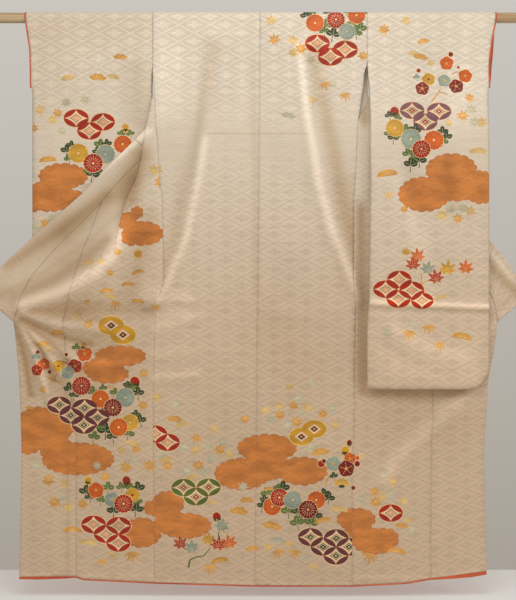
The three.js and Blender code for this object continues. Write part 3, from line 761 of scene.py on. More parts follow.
def fill_points(outline, pitch):
    """Staggered rows of points inside the outline, clear of its edge."""
    low, high = outline.min(0), outline.max(0)
    rows = np.arange(low[1] + pitch / 2, high[1], pitch * 0.87)
    columns = np.arange(low[0], high[0] + pitch, pitch)
    u = columns[None, :] + (np.arange(len(rows)) % 2)[:, None] * pitch / 2
    v = np.broadcast_to(rows[:, None], u.shape)
    points = np.stack([u.ravel(), v.ravel()], -1)
    points = points[inside(outline, points)]
    clear = np.full(len(points), 1e9)
    for p in outline:
        clear = np.minimum(clear, np.abs(points[:, 0] - p[0]) + np.abs(points[:, 1] - p[1]))
    return points[clear > pitch * 0.6]


def cut_cloth(outline, pitch, prints):
    """Triangles of a flat piece, cut along every print's edge, and each one's print."""
    fill = fill_points(outline, pitch)
    points = [outline, fill] + [p for p, _ in prints]
    faces = [list(range(len(outline)))]
    at = len(outline) + len(fill)
    for shape, _ in prints:
        faces.append(list(range(at, at + len(shape))))
        at += len(shape)
    flat = [Vector((float(a), float(b))) for a, b in np.concatenate(points)]
    found = delaunay_2d_cdt(flat, [], faces, 1, 1e-4)
    verts, triangles, sources = found[0], found[2], found[5]
    place = np.array([(p[0], p[1]) for p in verts])
    keep = [i for i, ids in enumerate(sources) if 0 in ids]
    triangles = np.array([triangles[i] for i in keep])
    dye = np.array([max(sources[i]) for i in keep])
    a, b, c = (place[triangles[:, i]] for i in range(3))
    area = (b[:, 0] - a[:, 0]) * (c[:, 1] - a[:, 1]) - (b[:, 1] - a[:, 1]) * (c[:, 0] - a[:, 0])
    triangles[area < 0] = triangles[area < 0][:, ::-1]
    flat_enough = np.abs(area) > 1e-7
    triangles, dye = triangles[flat_enough], dye[flat_enough]
    used, triangles = np.unique(triangles, return_inverse=True)
    return place[used], triangles.reshape(-1, 3), dye


def surface_normals(surface, u, v):
    """Unit normals from differences of the surface 1.5 mm each way."""
    du = surface(u + 1.5, v) - surface(u - 1.5, v)
    dv = surface(u, v + 1.5) - surface(u, v - 1.5)
    n = np.cross(du, dv)
    return n / np.maximum(np.linalg.norm(n, axis=-1, keepdims=True), 1e-9)


def rim_edges(triangles):
    """Directed edges that belong to one triangle only."""
    edges = np.concatenate([triangles[:, [0, 1]], triangles[:, [1, 2]], triangles[:, [2, 0]]])
    size = int(triangles.max()) + 1
    key = edges[:, 0] * size + edges[:, 1]
    back = edges[:, 1] * size + edges[:, 0]
    return edges[~np.isin(key, back)]


def new_object(name, points, faces, plain_faces=0):
    """A smooth mesh at the origin from points in millimetres and a list of faces.

    The last plain_faces faces, a cloth's rim, stay flat, so they don't tilt its shading.
    """
    mesh = bpy.data.meshes.new(name)
    mesh.from_pydata((np.asarray(points) * MM).tolist(), [], faces)
    smooth = np.ones(len(mesh.polygons), bool)
    smooth[len(smooth) - plain_faces:] = False
    mesh.polygons.foreach_set("use_smooth", smooth)
    obj = bpy.data.objects.new(name, mesh)
    bpy.context.scene.collection.objects.link(obj)
    return obj


def map_cloth(mesh, flat, face_count):
    """Lays a shell out on its flat points, in metres, and gives its inner face the lining.

    The result is the point's number at each face corner.
    """
    corners = np.zeros(len(mesh.loops), np.int32)
    mesh.loops.foreach_get("vertex_index", corners)
    uv = mesh.uv_layers.new(name="cloth")
    uv.data.foreach_set("uv", (flat[corners % len(flat)] * MM).ravel())
    slots = np.zeros(len(mesh.polygons), np.int32)
    slots[face_count:2 * face_count] = 1
    mesh.polygons.foreach_set("material_index", slots)
    return corners


def dye_cloth(mesh, colours):
    """Stores one colour and dyed share for each face corner."""
    layer = mesh.color_attributes.new(name="dye", type="FLOAT_COLOR", domain="CORNER")
    layer.data.foreach_set("color", colours.astype(np.float32).ravel())
    mesh.update()


def cloth_object(name, outline, surface, pitch, wall, prints, ground, inner):
    """Closed cloth: the surface moved half a wall out and in, joined round its rim.

    ground gives the outer face's colour (red, green, blue, dyed share), painted light and shade
    included, and the gain of that painted light at points of the cloth, inner the lining's colour
    at flat points u, v.
    """
    flat, triangles, dye = cut_cloth(outline, pitch, prints)
    u, v = flat[:, 0], flat[:, 1]
    middle = surface(u, v)
    normal = surface_normals(surface, u, v)
    points = np.concatenate([middle + normal * wall / 2, middle - normal * wall / 2])
    count = len(flat)
    rim = rim_edges(triangles)
    sides = np.stack([rim[:, 1], rim[:, 0], rim[:, 0] + count, rim[:, 1] + count], -1)
    faces = triangles.tolist() + (triangles[:, ::-1] + count).tolist() + sides.tolist()
    obj = new_object(name, points, faces, len(sides))
    corners = map_cloth(obj.data, flat, len(triangles))
    outer, gain = ground(middle)
    colours = np.concatenate([outer, inner(u, v)])[corners]
    # Printed shapes take the painted light and shade of the cloth under them.
    if prints:
        shades = np.array([[0, 0, 0, 0]] + [list(c) for _, c in prints], float)
        printed = np.repeat(dye, 3)
        mask = printed > 0
        lit = shades[printed[mask]]
        lit[:, :3] *= gain[corners[: len(printed)][mask]][:, None]
        colours[: len(printed)][mask] = lit
    dye_cloth(obj.data, colours)
    return obj


# ---- collar ----------------------------------------------------------------------------
def smooth_rows(values, passes):
    """Each row moved to a quarter, half, quarter mean of its neighbours, ends kept."""
    for _ in range(passes):
        inner = values[:-2] / 4 + values[1:-1] / 2 + values[2:] / 4
        values = np.concatenate([values[:1], inner, values[-1:]])
    return values


def lapel_stations(side, pitch):
    """Seam and folded edge of the collar on one front, from the neck down."""
    z = steps(-12, COLLAR_END, pitch)
    rows = COLLAR[side]
    columns = [track(rows, i, z, 8) for i in range(1, 6)]
    x = columns[0]
    shift = ease((ARMPIT + 30 - z) / 60) * fold_shift(FOLDS, x, z)
    seam = np.stack([x, columns[1] + shift, z], -1)
    edge = np.stack([columns[2], columns[3] + shift, columns[4]], -1)
    clear = np.where(z > -60, NECK_EASE, np.where(z > -150, SEAM + 1.2, sewn_gap(z)))
    return seam, edge, clear, z


def collar_stations(pitch):
    """Seam points, folded edge points and heights from the left end to the right end."""
    left, right = (lapel_stations(side, pitch) for side in ("left", "right"))
    x = steps(-76, 76, pitch)
    seam = np.stack([x] + [np.interp(np.abs(x), COLLAR_NECK[:, 0], COLLAR_NECK[:, i])
                           for i in (1, 2)], -1)
    reach = np.interp(np.abs(x), COLLAR_NECK[:, 0], COLLAR_NECK[:, 3]) * np.sign(x)
    edge = np.stack([reach] + [np.interp(np.abs(x), COLLAR_NECK[:, 0], COLLAR_NECK[:, i])
                               for i in (4, 5)], -1)
    parts = []
    neck = (seam, edge, np.full(len(x), SEAM), np.zeros(len(x)))
    for i in range(4):
        parts.append(np.concatenate([left[i][::-1], neck[i], right[i]]))
    seam, edge, clear, z = parts
    seam, edge = smooth_rows(seam, 3), smooth_rows(edge, 6)
    clear = smooth_rows(clear, 4)
    return seam, edge, clear, z


def collar_frame(pitch):
    """Start, end, across and normal directions of the collar at each station."""
    seam, edge, clear, z = collar_stations(pitch)
    across = edge - seam
    width = np.linalg.norm(across, axis=-1, keepdims=True)
    across = across / width
    start = seam + across * clear[:, None]
    along = np.gradient(edge + seam, axis=0)
    normal = np.cross(along, across)
    normal = normal / np.linalg.norm(normal, axis=-1, keepdims=True)
    return start, edge, across, smooth_rows(normal, 2), z


def strip_object(name, rows, wall, ground, inner):
    """Closed cloth from a grid of points rows[i, j]: moved half a wall out and in."""
    n, m = rows.shape[:2]
    du = np.gradient(rows, axis=1)
    dv = np.gradient(rows, axis=0)
    normal = np.cross(dv, du)
    normal = normal / np.maximum(np.linalg.norm(normal, axis=-1, keepdims=True), 1e-9)
    index = np.arange(n * m).reshape(n, m)
    a, b = index[:-1, :-1].ravel(), index[:-1, 1:].ravel()
    c, d = index[1:, 1:].ravel(), index[1:, :-1].ravel()
    quads = np.stack([a, d, c, b], -1)
    count = n * m
    rim = np.concatenate([index[0, :], index[1:, -1], index[-1, -2::-1], index[-2:0:-1, 0]])
    after = np.roll(rim, -1)
    sides = np.stack([rim, after, after + count, rim + count], -1)
    faces = quads.tolist() + (quads[:, ::-1] + count).tolist() + sides.tolist()
    flat_rows = rows.reshape(-1, 3)
    flat_normal = normal.reshape(-1, 3)
    points = np.concatenate([flat_rows + flat_normal * wall / 2,
                             flat_rows - flat_normal * wall / 2])
    obj = new_object(name, points, faces, len(sides))
    across = np.concatenate([np.zeros((n, 1)), np.cumsum(
        np.linalg.norm(np.diff(rows, axis=1), axis=-1), axis=1)], 1)
    length = np.concatenate([[0], np.cumsum(np.linalg.norm(
        np.diff(rows[:, m // 2], axis=0), axis=-1))])
    flat = np.stack([across, np.broadcast_to(length[:, None], across.shape)], -1).reshape(-1, 2)
    corners = map_cloth(obj.data, flat, len(quads))
    # The collar's outer colour carries the ground's painted light and shade; the inner face is a
    # little darker.
    outer = ground(flat_rows)[0]
    colours = np.concatenate([outer, outer * [inner, inner, inner, 1]])
    dye_cloth(obj.data, colours[corners])
    return obj


def collar_rows(pitch):
    """The collar folded double: near layer out, round the folded edge, far layer back."""
    start, edge, across, normal, _ = collar_frame(pitch)
    out = np.concatenate([np.linspace(0, 1, COLLAR_STEPS), np.ones(5),
                          np.linspace(1, 0, COLLAR_STEPS)])
    turn = np.radians(np.concatenate([np.full(COLLAR_STEPS, -90.0), np.linspace(-60, 60, 5),
                                      np.full(COLLAR_STEPS, 90.0)]))
    reach = COLLAR_HALF_GAP * np.cos(turn)
    side = COLLAR_HALF_GAP * np.sin(turn) * (0.56 + 0.44 * ease(out / 0.14))
    span = (edge - start)[:, None, :] * out[None, :, None]
    bend = (reach - COLLAR_HALF_GAP) * (out == 1)
    rows = start[:, None, :] + span + across[:, None, :] * bend[None, :, None]
    return rows - normal[:, None, :] * side[None, :, None]


def overcollar_rows(pitch):
    """The overcollar lies on the collar's outer side, SEAM off it, on the upper part."""
    start, edge, _, normal, z = collar_frame(pitch)
    keep = z >= OVERCOLLAR_END
    out = np.linspace(0, 1, 10)
    rows = start[keep][:, None, :] + (edge - start)[keep][:, None, :] * out[None, :, None]
    offset = COLLAR_HALF_GAP + COLLAR_LAYER / 2 + SEAM + OVERCOLLAR_LAYER / 2
    return rows + normal[keep][:, None, :] * offset


# ---- rolls of lining -------------------------------------------------------------------
def tube_faces(length, sides):
    """Faces of a closed tube of length rings, each of the same number of points."""
    index = np.arange(length * sides).reshape(length, sides)
    after = np.roll(index, -1, axis=1)
    quads = np.stack([index[:-1], index[1:], after[1:], after[:-1]], -1).reshape(-1, 4)
    return quads[:, ::-1].tolist() + [index[0, ::-1].tolist(), index[-1].tolist()]


def roll_object(name, centres, up, half_wide, half_high):
    """A closed roll: an oval of ROLL_SIDES points carried along its centres."""
    along = np.gradient(centres, axis=0)
    along = along / np.linalg.norm(along, axis=-1, keepdims=True)
    up = up - along * np.sum(up * along, -1, keepdims=True)
    up = up / np.linalg.norm(up, axis=-1, keepdims=True)
    out = np.cross(along, up)
    angle = np.linspace(0, 2 * math.pi, ROLL_SIDES + 1)[:-1]
    rows = (centres[:, None, :]
            + out[:, None, :] * (half_wide[:, None] * np.cos(angle))[:, :, None]
            + up[:, None, :] * (half_high[:, None] * np.sin(angle))[:, :, None])
    return new_object(name, rows.reshape(-1, 3), tube_faces(len(centres), ROLL_SIDES))


def hem_roll(side):
    """The padded roll under the hem of one half: as deep as HEM_LINE says at each x."""
    s = SIGN[side]
    ends = (s * SEAM / 2 - 10, HEM_LINE[-1, 0] if s > 0 else HEM_LINE[0, 0])
    x = steps(ends[0], ends[1] - s * 0.8, 7)
    drop = np.interp(x, HEM_LINE[:, 0], HEM_LINE[:, 2])
    y = HEM_DEPTH + fold_shift(FOLDS, x, np.full(len(x), HEM)) + SEAM
    z = np.interp(x, HEM_LINE[:, 0], HEM_LINE[:, 1]) - SEAM - drop / 2
    centres = np.stack([x, y, z], -1)
    up = np.tile([0.0, 0.0, 1.0], (len(x), 1))
    wide = np.full(len(x), 1.7)
    wide[0] = wide[-1] = 1.1
    return roll_object(f"hem_roll_{side}_silk", centres, up, wide, drop / 2)


def cuff_roll(side):
    """The rolled lining edge round a cuff opening, from near to far over the rod."""
    s = SIGN[side]
    z = steps(CUFF_END + 10, 0, 7)
    near = sleeve_layer(side, True, sleeve_edge(side, 2, z), z)
    far = sleeve_layer(side, False, sleeve_edge(side, 3, z), z)
    arc = steps(0, OVER, 5)[1:-1]
    edge = sleeve_edge(side, 2, np.array(0.0))
    edge_far = sleeve_edge(side, 3, np.array(0.0))
    over = over_rod(edge + (edge_far - edge) * arc / OVER, arc)
    line = np.concatenate([near, over, far[::-1]])
    line = line + np.array([s * (SEAM + CUFF_ROLL_HALF_HIGH), 0, 0])
    up = np.tile([1.0, 0.0, 0.0], (len(line), 1))
    return roll_object(f"cuff_roll_{side}_silk", line, up,
                       np.full(len(line), CUFF_ROLL_HALF_WIDE),
                       np.full(len(line), CUFF_ROLL_HALF_HIGH))


# ---- materials -------------------------------------------------------------------------
def srgb(r, g, b):
    """Colour from 0 to 255 as light levels."""
    c = np.array([r, g, b], float) / 255
    return np.where(c <= 0.04045, c / 12.92, ((c + 0.055) / 1.055) ** 2.4)


def tint(r, g, b, dyed=1.0):
    """Colour and dyed share as one row."""
    return (*srgb(r, g, b), dyed)


class Nodes:
    """Short ways to add and join shader nodes."""

    def __init__(self, name):
        self.material = bpy.data.materials.new(name)
        self.material.use_nodes = True
        self.tree = self.material.node_tree
        self.shader = self.tree.nodes["Principled BSDF"]

    def add(self, kind, **settings):
        node = self.tree.nodes.new(kind)
        for key, value in settings.items():
            setattr(node, key, value)
        return node

    def link(self, source, target):
        self.tree.links.new(source, target)

    def feed(self, socket, value):
        if isinstance(value, bpy.types.NodeSocket):
            self.link(value, socket)
        else:
            socket.default_value = value

    def math(self, operation, *values):
        node = self.add("ShaderNodeMath", operation=operation)
        for socket, value in zip(node.inputs, values):
            self.feed(socket, value)
        return node.outputs[0]

    def spread(self, value, low, high, to_low=0.0, to_high=1.0):
        node = self.add("ShaderNodeMapRange", interpolation_type="SMOOTHSTEP")
        for socket, item in zip(node.inputs, (value, low, high, to_low, to_high)):
            self.feed(socket, item)
        return node.outputs[0]

    def mix(self, share, first, second, blend="MIX"):
        node = self.add("ShaderNodeMix", data_type="RGBA", blend_type=blend)
        self.feed(node.inputs[0], share)
        self.feed(node.inputs[6], first)
        self.feed(node.inputs[7], second)
        return node.outputs[2]

    def noise(self, vector, scale, detail=2.0):
        node = self.add("ShaderNodeTexNoise")
        self.link(vector, node.inputs["Vector"])
        node.inputs["Scale"].default_value = scale
        node.inputs["Detail"].default_value = detail
        return node.outputs["Fac"]

    def stretched(self, vector, x, y):
        node = self.add("ShaderNodeMapping")
        self.link(vector, node.inputs["Vector"])
        node.inputs["Scale"].default_value = (x, y, 1)
        return node.outputs["Vector"]

    def bump(self, height, distance, strength=1.0):
        node = self.add("ShaderNodeBump")
        node.inputs["Strength"].default_value = strength
        node.inputs["Distance"].default_value = distance
        self.link(height, node.inputs["Height"])
        self.link(node.outputs["Normal"], self.shader.inputs["Normal"])


def lattice_figure(n, uv, wide, high):
    """Figure of the weave, from -1 to 1: rhombic lines and a long four-petalled flower in
    each rhombus are 1, a thin band inside the lines is -0.7, the rest 0."""
    split = n.add("ShaderNodeSeparateXYZ")
    n.link(uv, split.inputs[0])
    p = n.math("DIVIDE", split.outputs[0], wide)
    q = n.math("DIVIDE", split.outputs[1], high)
    first = n.math("SUBTRACT", n.math("FRACT", n.math("ADD", p, q)), 0.5)
    second = n.math("SUBTRACT", n.math("FRACT", n.math("SUBTRACT", p, q)), 0.5)
    reach = n.math("MAXIMUM", n.math("ABSOLUTE", first), n.math("ABSOLUTE", second))
    line = n.spread(reach, 0.455, 0.472)
    band = n.math("MULTIPLY", n.spread(reach, 0.335, 0.355), n.spread(reach, 0.40, 0.42, 1.0, 0.0))
    x = n.math("DIVIDE", n.math("ADD", first, second), 0.52)
    y = n.math("DIVIDE", n.math("SUBTRACT", first, second), 0.50)
    xx = n.math("MULTIPLY", x, x)
    yy = n.math("MULTIPLY", y, y)
    rr = n.math("ADD", n.math("ADD", xx, yy), 0.0001)
    lobes = n.math("ABSOLUTE", n.math("DIVIDE", n.math("SUBTRACT", xx, yy), rr))
    outline = n.math("ADD", n.math("MULTIPLY", lobes, 0.55), 0.32)
    ratio = n.math("DIVIDE", n.math("SQRT", rr), outline)
    petals = n.spread(ratio, 0.86, 1.0, 1.0, 0.0)
    eye = n.spread(ratio, 0.14, 0.26)
    flower = n.math("MULTIPLY", petals, eye)
    raised = n.math("MAXIMUM", line, flower)
    return n.math("SUBTRACT", raised, n.math("MULTIPLY", band, 0.7))


def figured_silk(name, sizes):
    """Satin silk: dye from its attribute, woven figure from its flat place, slubs, sheen.

    The dye's fourth number is 0 on undyed cloth, 1 on dyed and PLAIN_SHARE on unfigured.

    The figure is painted lighter than the ground high up and darker below: painted sheen, which
    stands in for the satin facing the light above.
    """
    n = Nodes(name)
    uv = n.add("ShaderNodeUVMap", uv_map="cloth").outputs[0]
    dye = n.add("ShaderNodeVertexColor", layer_name="dye")
    place = n.add("ShaderNodeTexCoord").outputs["Object"]
    split = n.add("ShaderNodeSeparateXYZ")
    n.link(place, split.inputs[0])
    figure = lattice_figure(n, uv, sizes.figure_width, sizes.figure_height)
    slub = n.noise(n.stretched(uv, 7, 420), 1.0, 3.0)
    age = n.noise(uv, 2.6, 3.0)
    grain = n.noise(n.stretched(uv, 900, 1500), 1.0, 1.0)
    patch = n.noise(n.stretched(uv, 60, 110), 1.0, 2.0)
    # Painted sheen: the figure's lift turns from lighter to darker with height.
    high = n.math("ADD", split.outputs[2], n.math("MULTIPLY", age, 0.25))
    turn = n.spread(high, -0.42, -0.02, -0.10, 0.13)
    turn = n.math("MULTIPLY", turn, n.spread(patch, 0.3, 0.62, 0.35, 1.2))
    flat = n.spread(dye.outputs["Alpha"], 0.0, PLAIN_SHARE, 1.0, 0.0)
    brush = n.noise(n.stretched(uv, 16, 34), 1.0, 2.0)
    dyed = n.math("MULTIPLY", n.math("MINIMUM", dye.outputs["Alpha"], 1.0),
                  n.spread(dye.outputs["Alpha"], 1.2, 2.0, 1.0, 0.0))
    gain = n.math("ADD", 1.0, n.math("MULTIPLY", n.math("MULTIPLY", figure, turn), flat))
    gain = n.math("MULTIPLY", gain, n.spread(slub, 0.35, 0.7, 1.03, 0.93))
    gain = n.math("MULTIPLY", gain, n.spread(age, 0.35, 0.75, 1.02, 0.93))
    uneven = n.math("MULTIPLY", dyed, n.spread(brush, 0.3, 0.7, -0.16, 0.16))
    gain = n.math("MULTIPLY", gain, n.math("ADD", 1.0, uneven))
    speck = n.noise(n.stretched(uv, 240, 420), 1.0, 2.0)
    gain = n.math("MULTIPLY", gain, n.spread(speck, 0.3, 0.7, 0.95, 1.05))
    scale = n.add("ShaderNodeCombineXYZ")
    for socket in scale.inputs:
        n.link(gain, socket)
    colour = n.mix(1.0, dye.outputs["Color"], scale.outputs[0], "MULTIPLY")
    n.link(colour, n.shader.inputs["Base Color"])
    rough = n.math("SUBTRACT", 0.46, n.math("MULTIPLY", figure, 0.10))
    n.link(n.math("ADD", rough, n.math("MULTIPLY", grain, 0.06)), n.shader.inputs["Roughness"])
    n.shader.inputs["Specular IOR Level"].default_value = 0.45
    n.shader.inputs["Sheen Weight"].default_value = 0.06
    n.shader.inputs["Sheen Roughness"].default_value = 0.35
    n.shader.inputs["Anisotropic"].default_value = 0.4
    ripple = n.noise(n.stretched(uv, 24, 46), 1.0, 3.0)
    height = n.math("ADD", n.math("MULTIPLY", figure, 0.25),
                    n.math("ADD", n.math("MULTIPLY", slub, 0.45), n.math("MULTIPLY", grain, 0.15)))
    drape = n.math("ADD", 0.8, n.math("MULTIPLY", flat, 2.4))
    height = n.math("ADD", height, n.math("MULTIPLY", ripple, drape))
    n.bump(height, 0.0007, 0.6)
    return n.material


def plain_silk(name):
    """Lining silk: dye from its attribute, fine threads and a soft sheen."""
    n = Nodes(name)
    uv = n.add("ShaderNodeUVMap", uv_map="cloth").outputs[0]
    dye = n.add("ShaderNodeVertexColor", layer_name="dye")
    thread = n.noise(n.stretched(uv, 1400, 300), 1.0, 2.0)
    age = n.noise(uv, 4.0, 3.0)
    colour = n.mix(n.spread(age, 0.35, 0.75, 0.0, 0.14), dye.outputs["Color"],
                   (0.36, 0.24, 0.14, 1))
    n.link(colour, n.shader.inputs["Base Color"])
    n.link(n.spread(thread, 0.3, 0.7, 0.5, 0.62), n.shader.inputs["Roughness"])
    n.shader.inputs["Sheen Weight"].default_value = 0.2
    n.bump(thread, 0.0003, 0.4)
    return n.material


def roll_silk(name):
    """Orange-red lining silk on the rolled edges, with fine cross folds."""
    n = Nodes(name)
    place = n.add("ShaderNodeTexCoord").outputs["Object"]
    cross = n.noise(n.stretched(place, 160, 40), 1.0, 3.0)
    shade = n.noise(place, 9.0, 2.0)
    colour = n.mix(n.spread(shade, 0.3, 0.7), (*srgb(196, 74, 38), 1), (*srgb(222, 104, 54), 1))
    n.link(colour, n.shader.inputs["Base Color"])
    n.link(n.spread(cross, 0.3, 0.7, 0.42, 0.6), n.shader.inputs["Roughness"])
    n.shader.inputs["Sheen Weight"].default_value = 0.2
    n.bump(cross, 0.0008, 0.5)
    return n.material


def rod_wood(name):
    """Pale softwood: long grain lines along X, rings from a stretched noise, light wear."""
    n = Nodes(name)
    place = n.add("ShaderNodeTexCoord").outputs["Object"]
    node = n.add("ShaderNodeMapping")
    n.link(place, node.inputs["Vector"])
    node.inputs["Scale"].default_value = (2.2, 90, 90)
    grain = n.noise(node.outputs["Vector"], 1.0, 5.0)
    patch = n.noise(place, 5.0, 2.0)
    colour = n.mix(n.spread(grain, 0.35, 0.68), (*srgb(214, 190, 154), 1),
                   (*srgb(166, 132, 92), 1))
    colour = n.mix(n.spread(patch, 0.4, 0.7, 0.0, 0.35), colour, (*srgb(188, 156, 116), 1))
    n.link(colour, n.shader.inputs["Base Color"])
    n.link(n.spread(grain, 0.3, 0.7, 0.42, 0.6), n.shader.inputs["Roughness"])
    n.bump(grain, 0.0005, 0.5)
    return n.material


def floor_paint(name):
    """Plain pale floor with a faint uneven tone."""
    n = Nodes(name)
    place = n.add("ShaderNodeTexCoord").outputs["Object"]
    tone = n.noise(place, 1.5, 2.0)
    colour = n.mix(n.spread(tone, 0.3, 0.7), (0.86, 0.86, 0.85, 1), (0.92, 0.92, 0.91, 1))
    n.link(colour, n.shader.inputs["Base Color"])
    n.shader.inputs["Roughness"].default_value = 0.6
    return n.material


# ---- colours laid on the cloth ---------------------------------------------------------
# Ground colour at the top and at the hem; the hem's darker, warmer colour is painted shade where
# the satin's sheen fades.
GROUND_HIGH = tint(230, 217, 199, 0)
SHADED_GROUND_LOW = tint(216, 190, 161, 0)
PLAIN_SHARE = 2.2
CREAM_LINING = tint(226, 214, 194)
ORANGE_LINING = tint(208, 88, 44)


def painted_light_gain(light_strokes, x, z):
    """Painted light and shade: product over the strokes of 1 + gain times exp of -(distance /
    width) squared / 2.
    """
    gain = np.ones(np.shape(x))
    for amount, width, line in light_strokes:
        gain = gain * (1 + amount * np.exp(-((line_distance(x, z, line) / width) ** 2) / 2))
    return gain


def warm_gain(gain):
    """Gain for red, green and blue: shade on cream silk turns warm, light stays pale."""
    power = np.where(gain < 1, 1.0, 0.0)[..., None] * [-0.30, 0.0, 0.42] + [1.0, 1.0, 1.05]
    return gain[..., None] ** power


def ground_with_painted_light(light_strokes):
    """Cloth painted darker and warmer towards the hem, where the sheen fades, with painted
    highlights and shade on its folds.
    """
    def ground(points):
        x, z = points[:, 0], points[:, 2]
        low = ease((-z - 60) / 1150)[:, None]
        colour = np.array(GROUND_HIGH) * (1 - low) + np.array(SHADED_GROUND_LOW) * low
        gain = painted_light_gain(light_strokes, x, z)
        colour[:, :3] *= warm_gain(gain)
        return colour, gain

    return ground


def wing_ground(points):
    """Painted light and shade of the wing, and unfigured cloth outside the curve where the left
    front turns over.
    """
    colour, gain = ground_with_painted_light(WING_PAINTED_LIGHT)(points)
    x, z = points[:, 0], points[:, 2]
    curve = np.interp(-z, -TURN_CURVE[:, 1], TURN_CURVE[:, 0])
    plain = ease((-x - curve) / 10 + 0.5) * ease((z + 862) / 12)
    colour[:, 3] = PLAIN_SHARE * plain
    return colour, gain


def body_ground(points):
    """Painted light and shade of the back within the side seams, of the wing outside them."""
    x, z = points[:, 0], points[:, 2]
    wing = np.where(x < 0, x < back_side("left", z) - 2, x > back_side("right", z) + 2)
    back, back_gain = ground_with_painted_light(BODY_PAINTED_LIGHT)(points)
    front, front_gain = wing_ground(points)
    return np.where(wing[:, None], front, back), np.where(wing, front_gain, back_gain)


def body_lining(_, v):
    """Cream above, orange-red from ORANGE_RISE above the hem down, on back and front."""
    z = np.where(v < 0, v, np.minimum(OVER - v, 0))
    low = (z < HEM + ORANGE_RISE)[:, None]
    return np.where(low, np.array(ORANGE_LINING), np.array(CREAM_LINING))


def okumi_lining(_, v):
    """Orange-red below the collar's end, cream above."""
    low = (v < COLLAR_END - 20)[:, None]
    return np.where(low, np.array(ORANGE_LINING), np.array(CREAM_LINING))


def sleeve_lining(side):
    """Orange-red in a band ORANGE_CUFF wide inside the cuff, cream elsewhere."""
    def inner(u, v):
        z = np.where(v < 0, v, np.minimum(OVER - v, 0))
        near_cuff = np.abs(track(SLEEVE[side], 3, z) - u) < ORANGE_CUFF
        band = (near_cuff & (z > CUFF_END - 90))[:, None]
        return np.where(band, np.array(ORANGE_LINING), np.array(CREAM_LINING))

    return inner


# Dyed motifs by panel: kind, x, height, size or sizes, colour.  A branch has its line of
# points from that place, then its width.
LEFT_SLEEVE_DYES = [
    ("cloud", -569, -464, 70, 35), ("cloud", -607, -522, 70, 44), ("cloud", -654, -528, 35, 38),
    ("cloud", -549, -534, 44, 29), ("fan", -401, -119, 22, "gold"), ("fan", -466, -178, 26, "gold"),
    ("fan", -554, -179, 22, "pale_gold"), ("fan", -421, -176, 19, "pale_gold"),
    ("arch", -614, -417, 26, "gold"), ("star", -636, -272, 17, "pale_gold"),
    ("star", -584, -282, 16, "gold"), ("star", -599, -301, 17, "pale_gold"),
    ("star", -655, -324, 16, "gold"), ("star", -623, -603, 17, "gold"),
    ("star", -601, -587, 17, "mist"), ("star", -648, -610, 20, "mist"),
    ("star", -560, -251, 17, "mist"), ("star", -505, -242, 17, "mist"),
    ("star", -572, -333, 14, "mist"), ("shippo", -531, -295, 36, "red"),
    ("shippo", -453, -306, 35, "red"), ("shippo", -493, -332, 35, "red"),
    ("bud", -387, -326, 14, "gold"), ("leaves", -400, -343, 12, "leaf"),
    ("leaves", -372, -343, 12, "leaf"), ("leaves", -559, -392, 17, "dark_leaf"),
    ("leaves", -546, -377, 14, "dark_leaf"), ("leaves", -552, -415, 14, "leaf"),
    ("leaves", -463, -375, 17, "leaf"), ("leaves", -441, -372, 14, "dark_leaf"),
    ("leaves", -470, -394, 14, "dark_leaf"), ("leaves", -484, -461, 20, "dark_leaf"),
    ("leaves", -496, -450, 14, "leaf"), ("leaves", -470, -450, 14, "dark_leaf"),
    ("mum", -525, -397, 28, "yellow"), ("mum", -395, -371, 26, "orange"),
    ("mum", -446, -400, 28, "teal"), ("mum", -482, -426, 28, "red"),
]
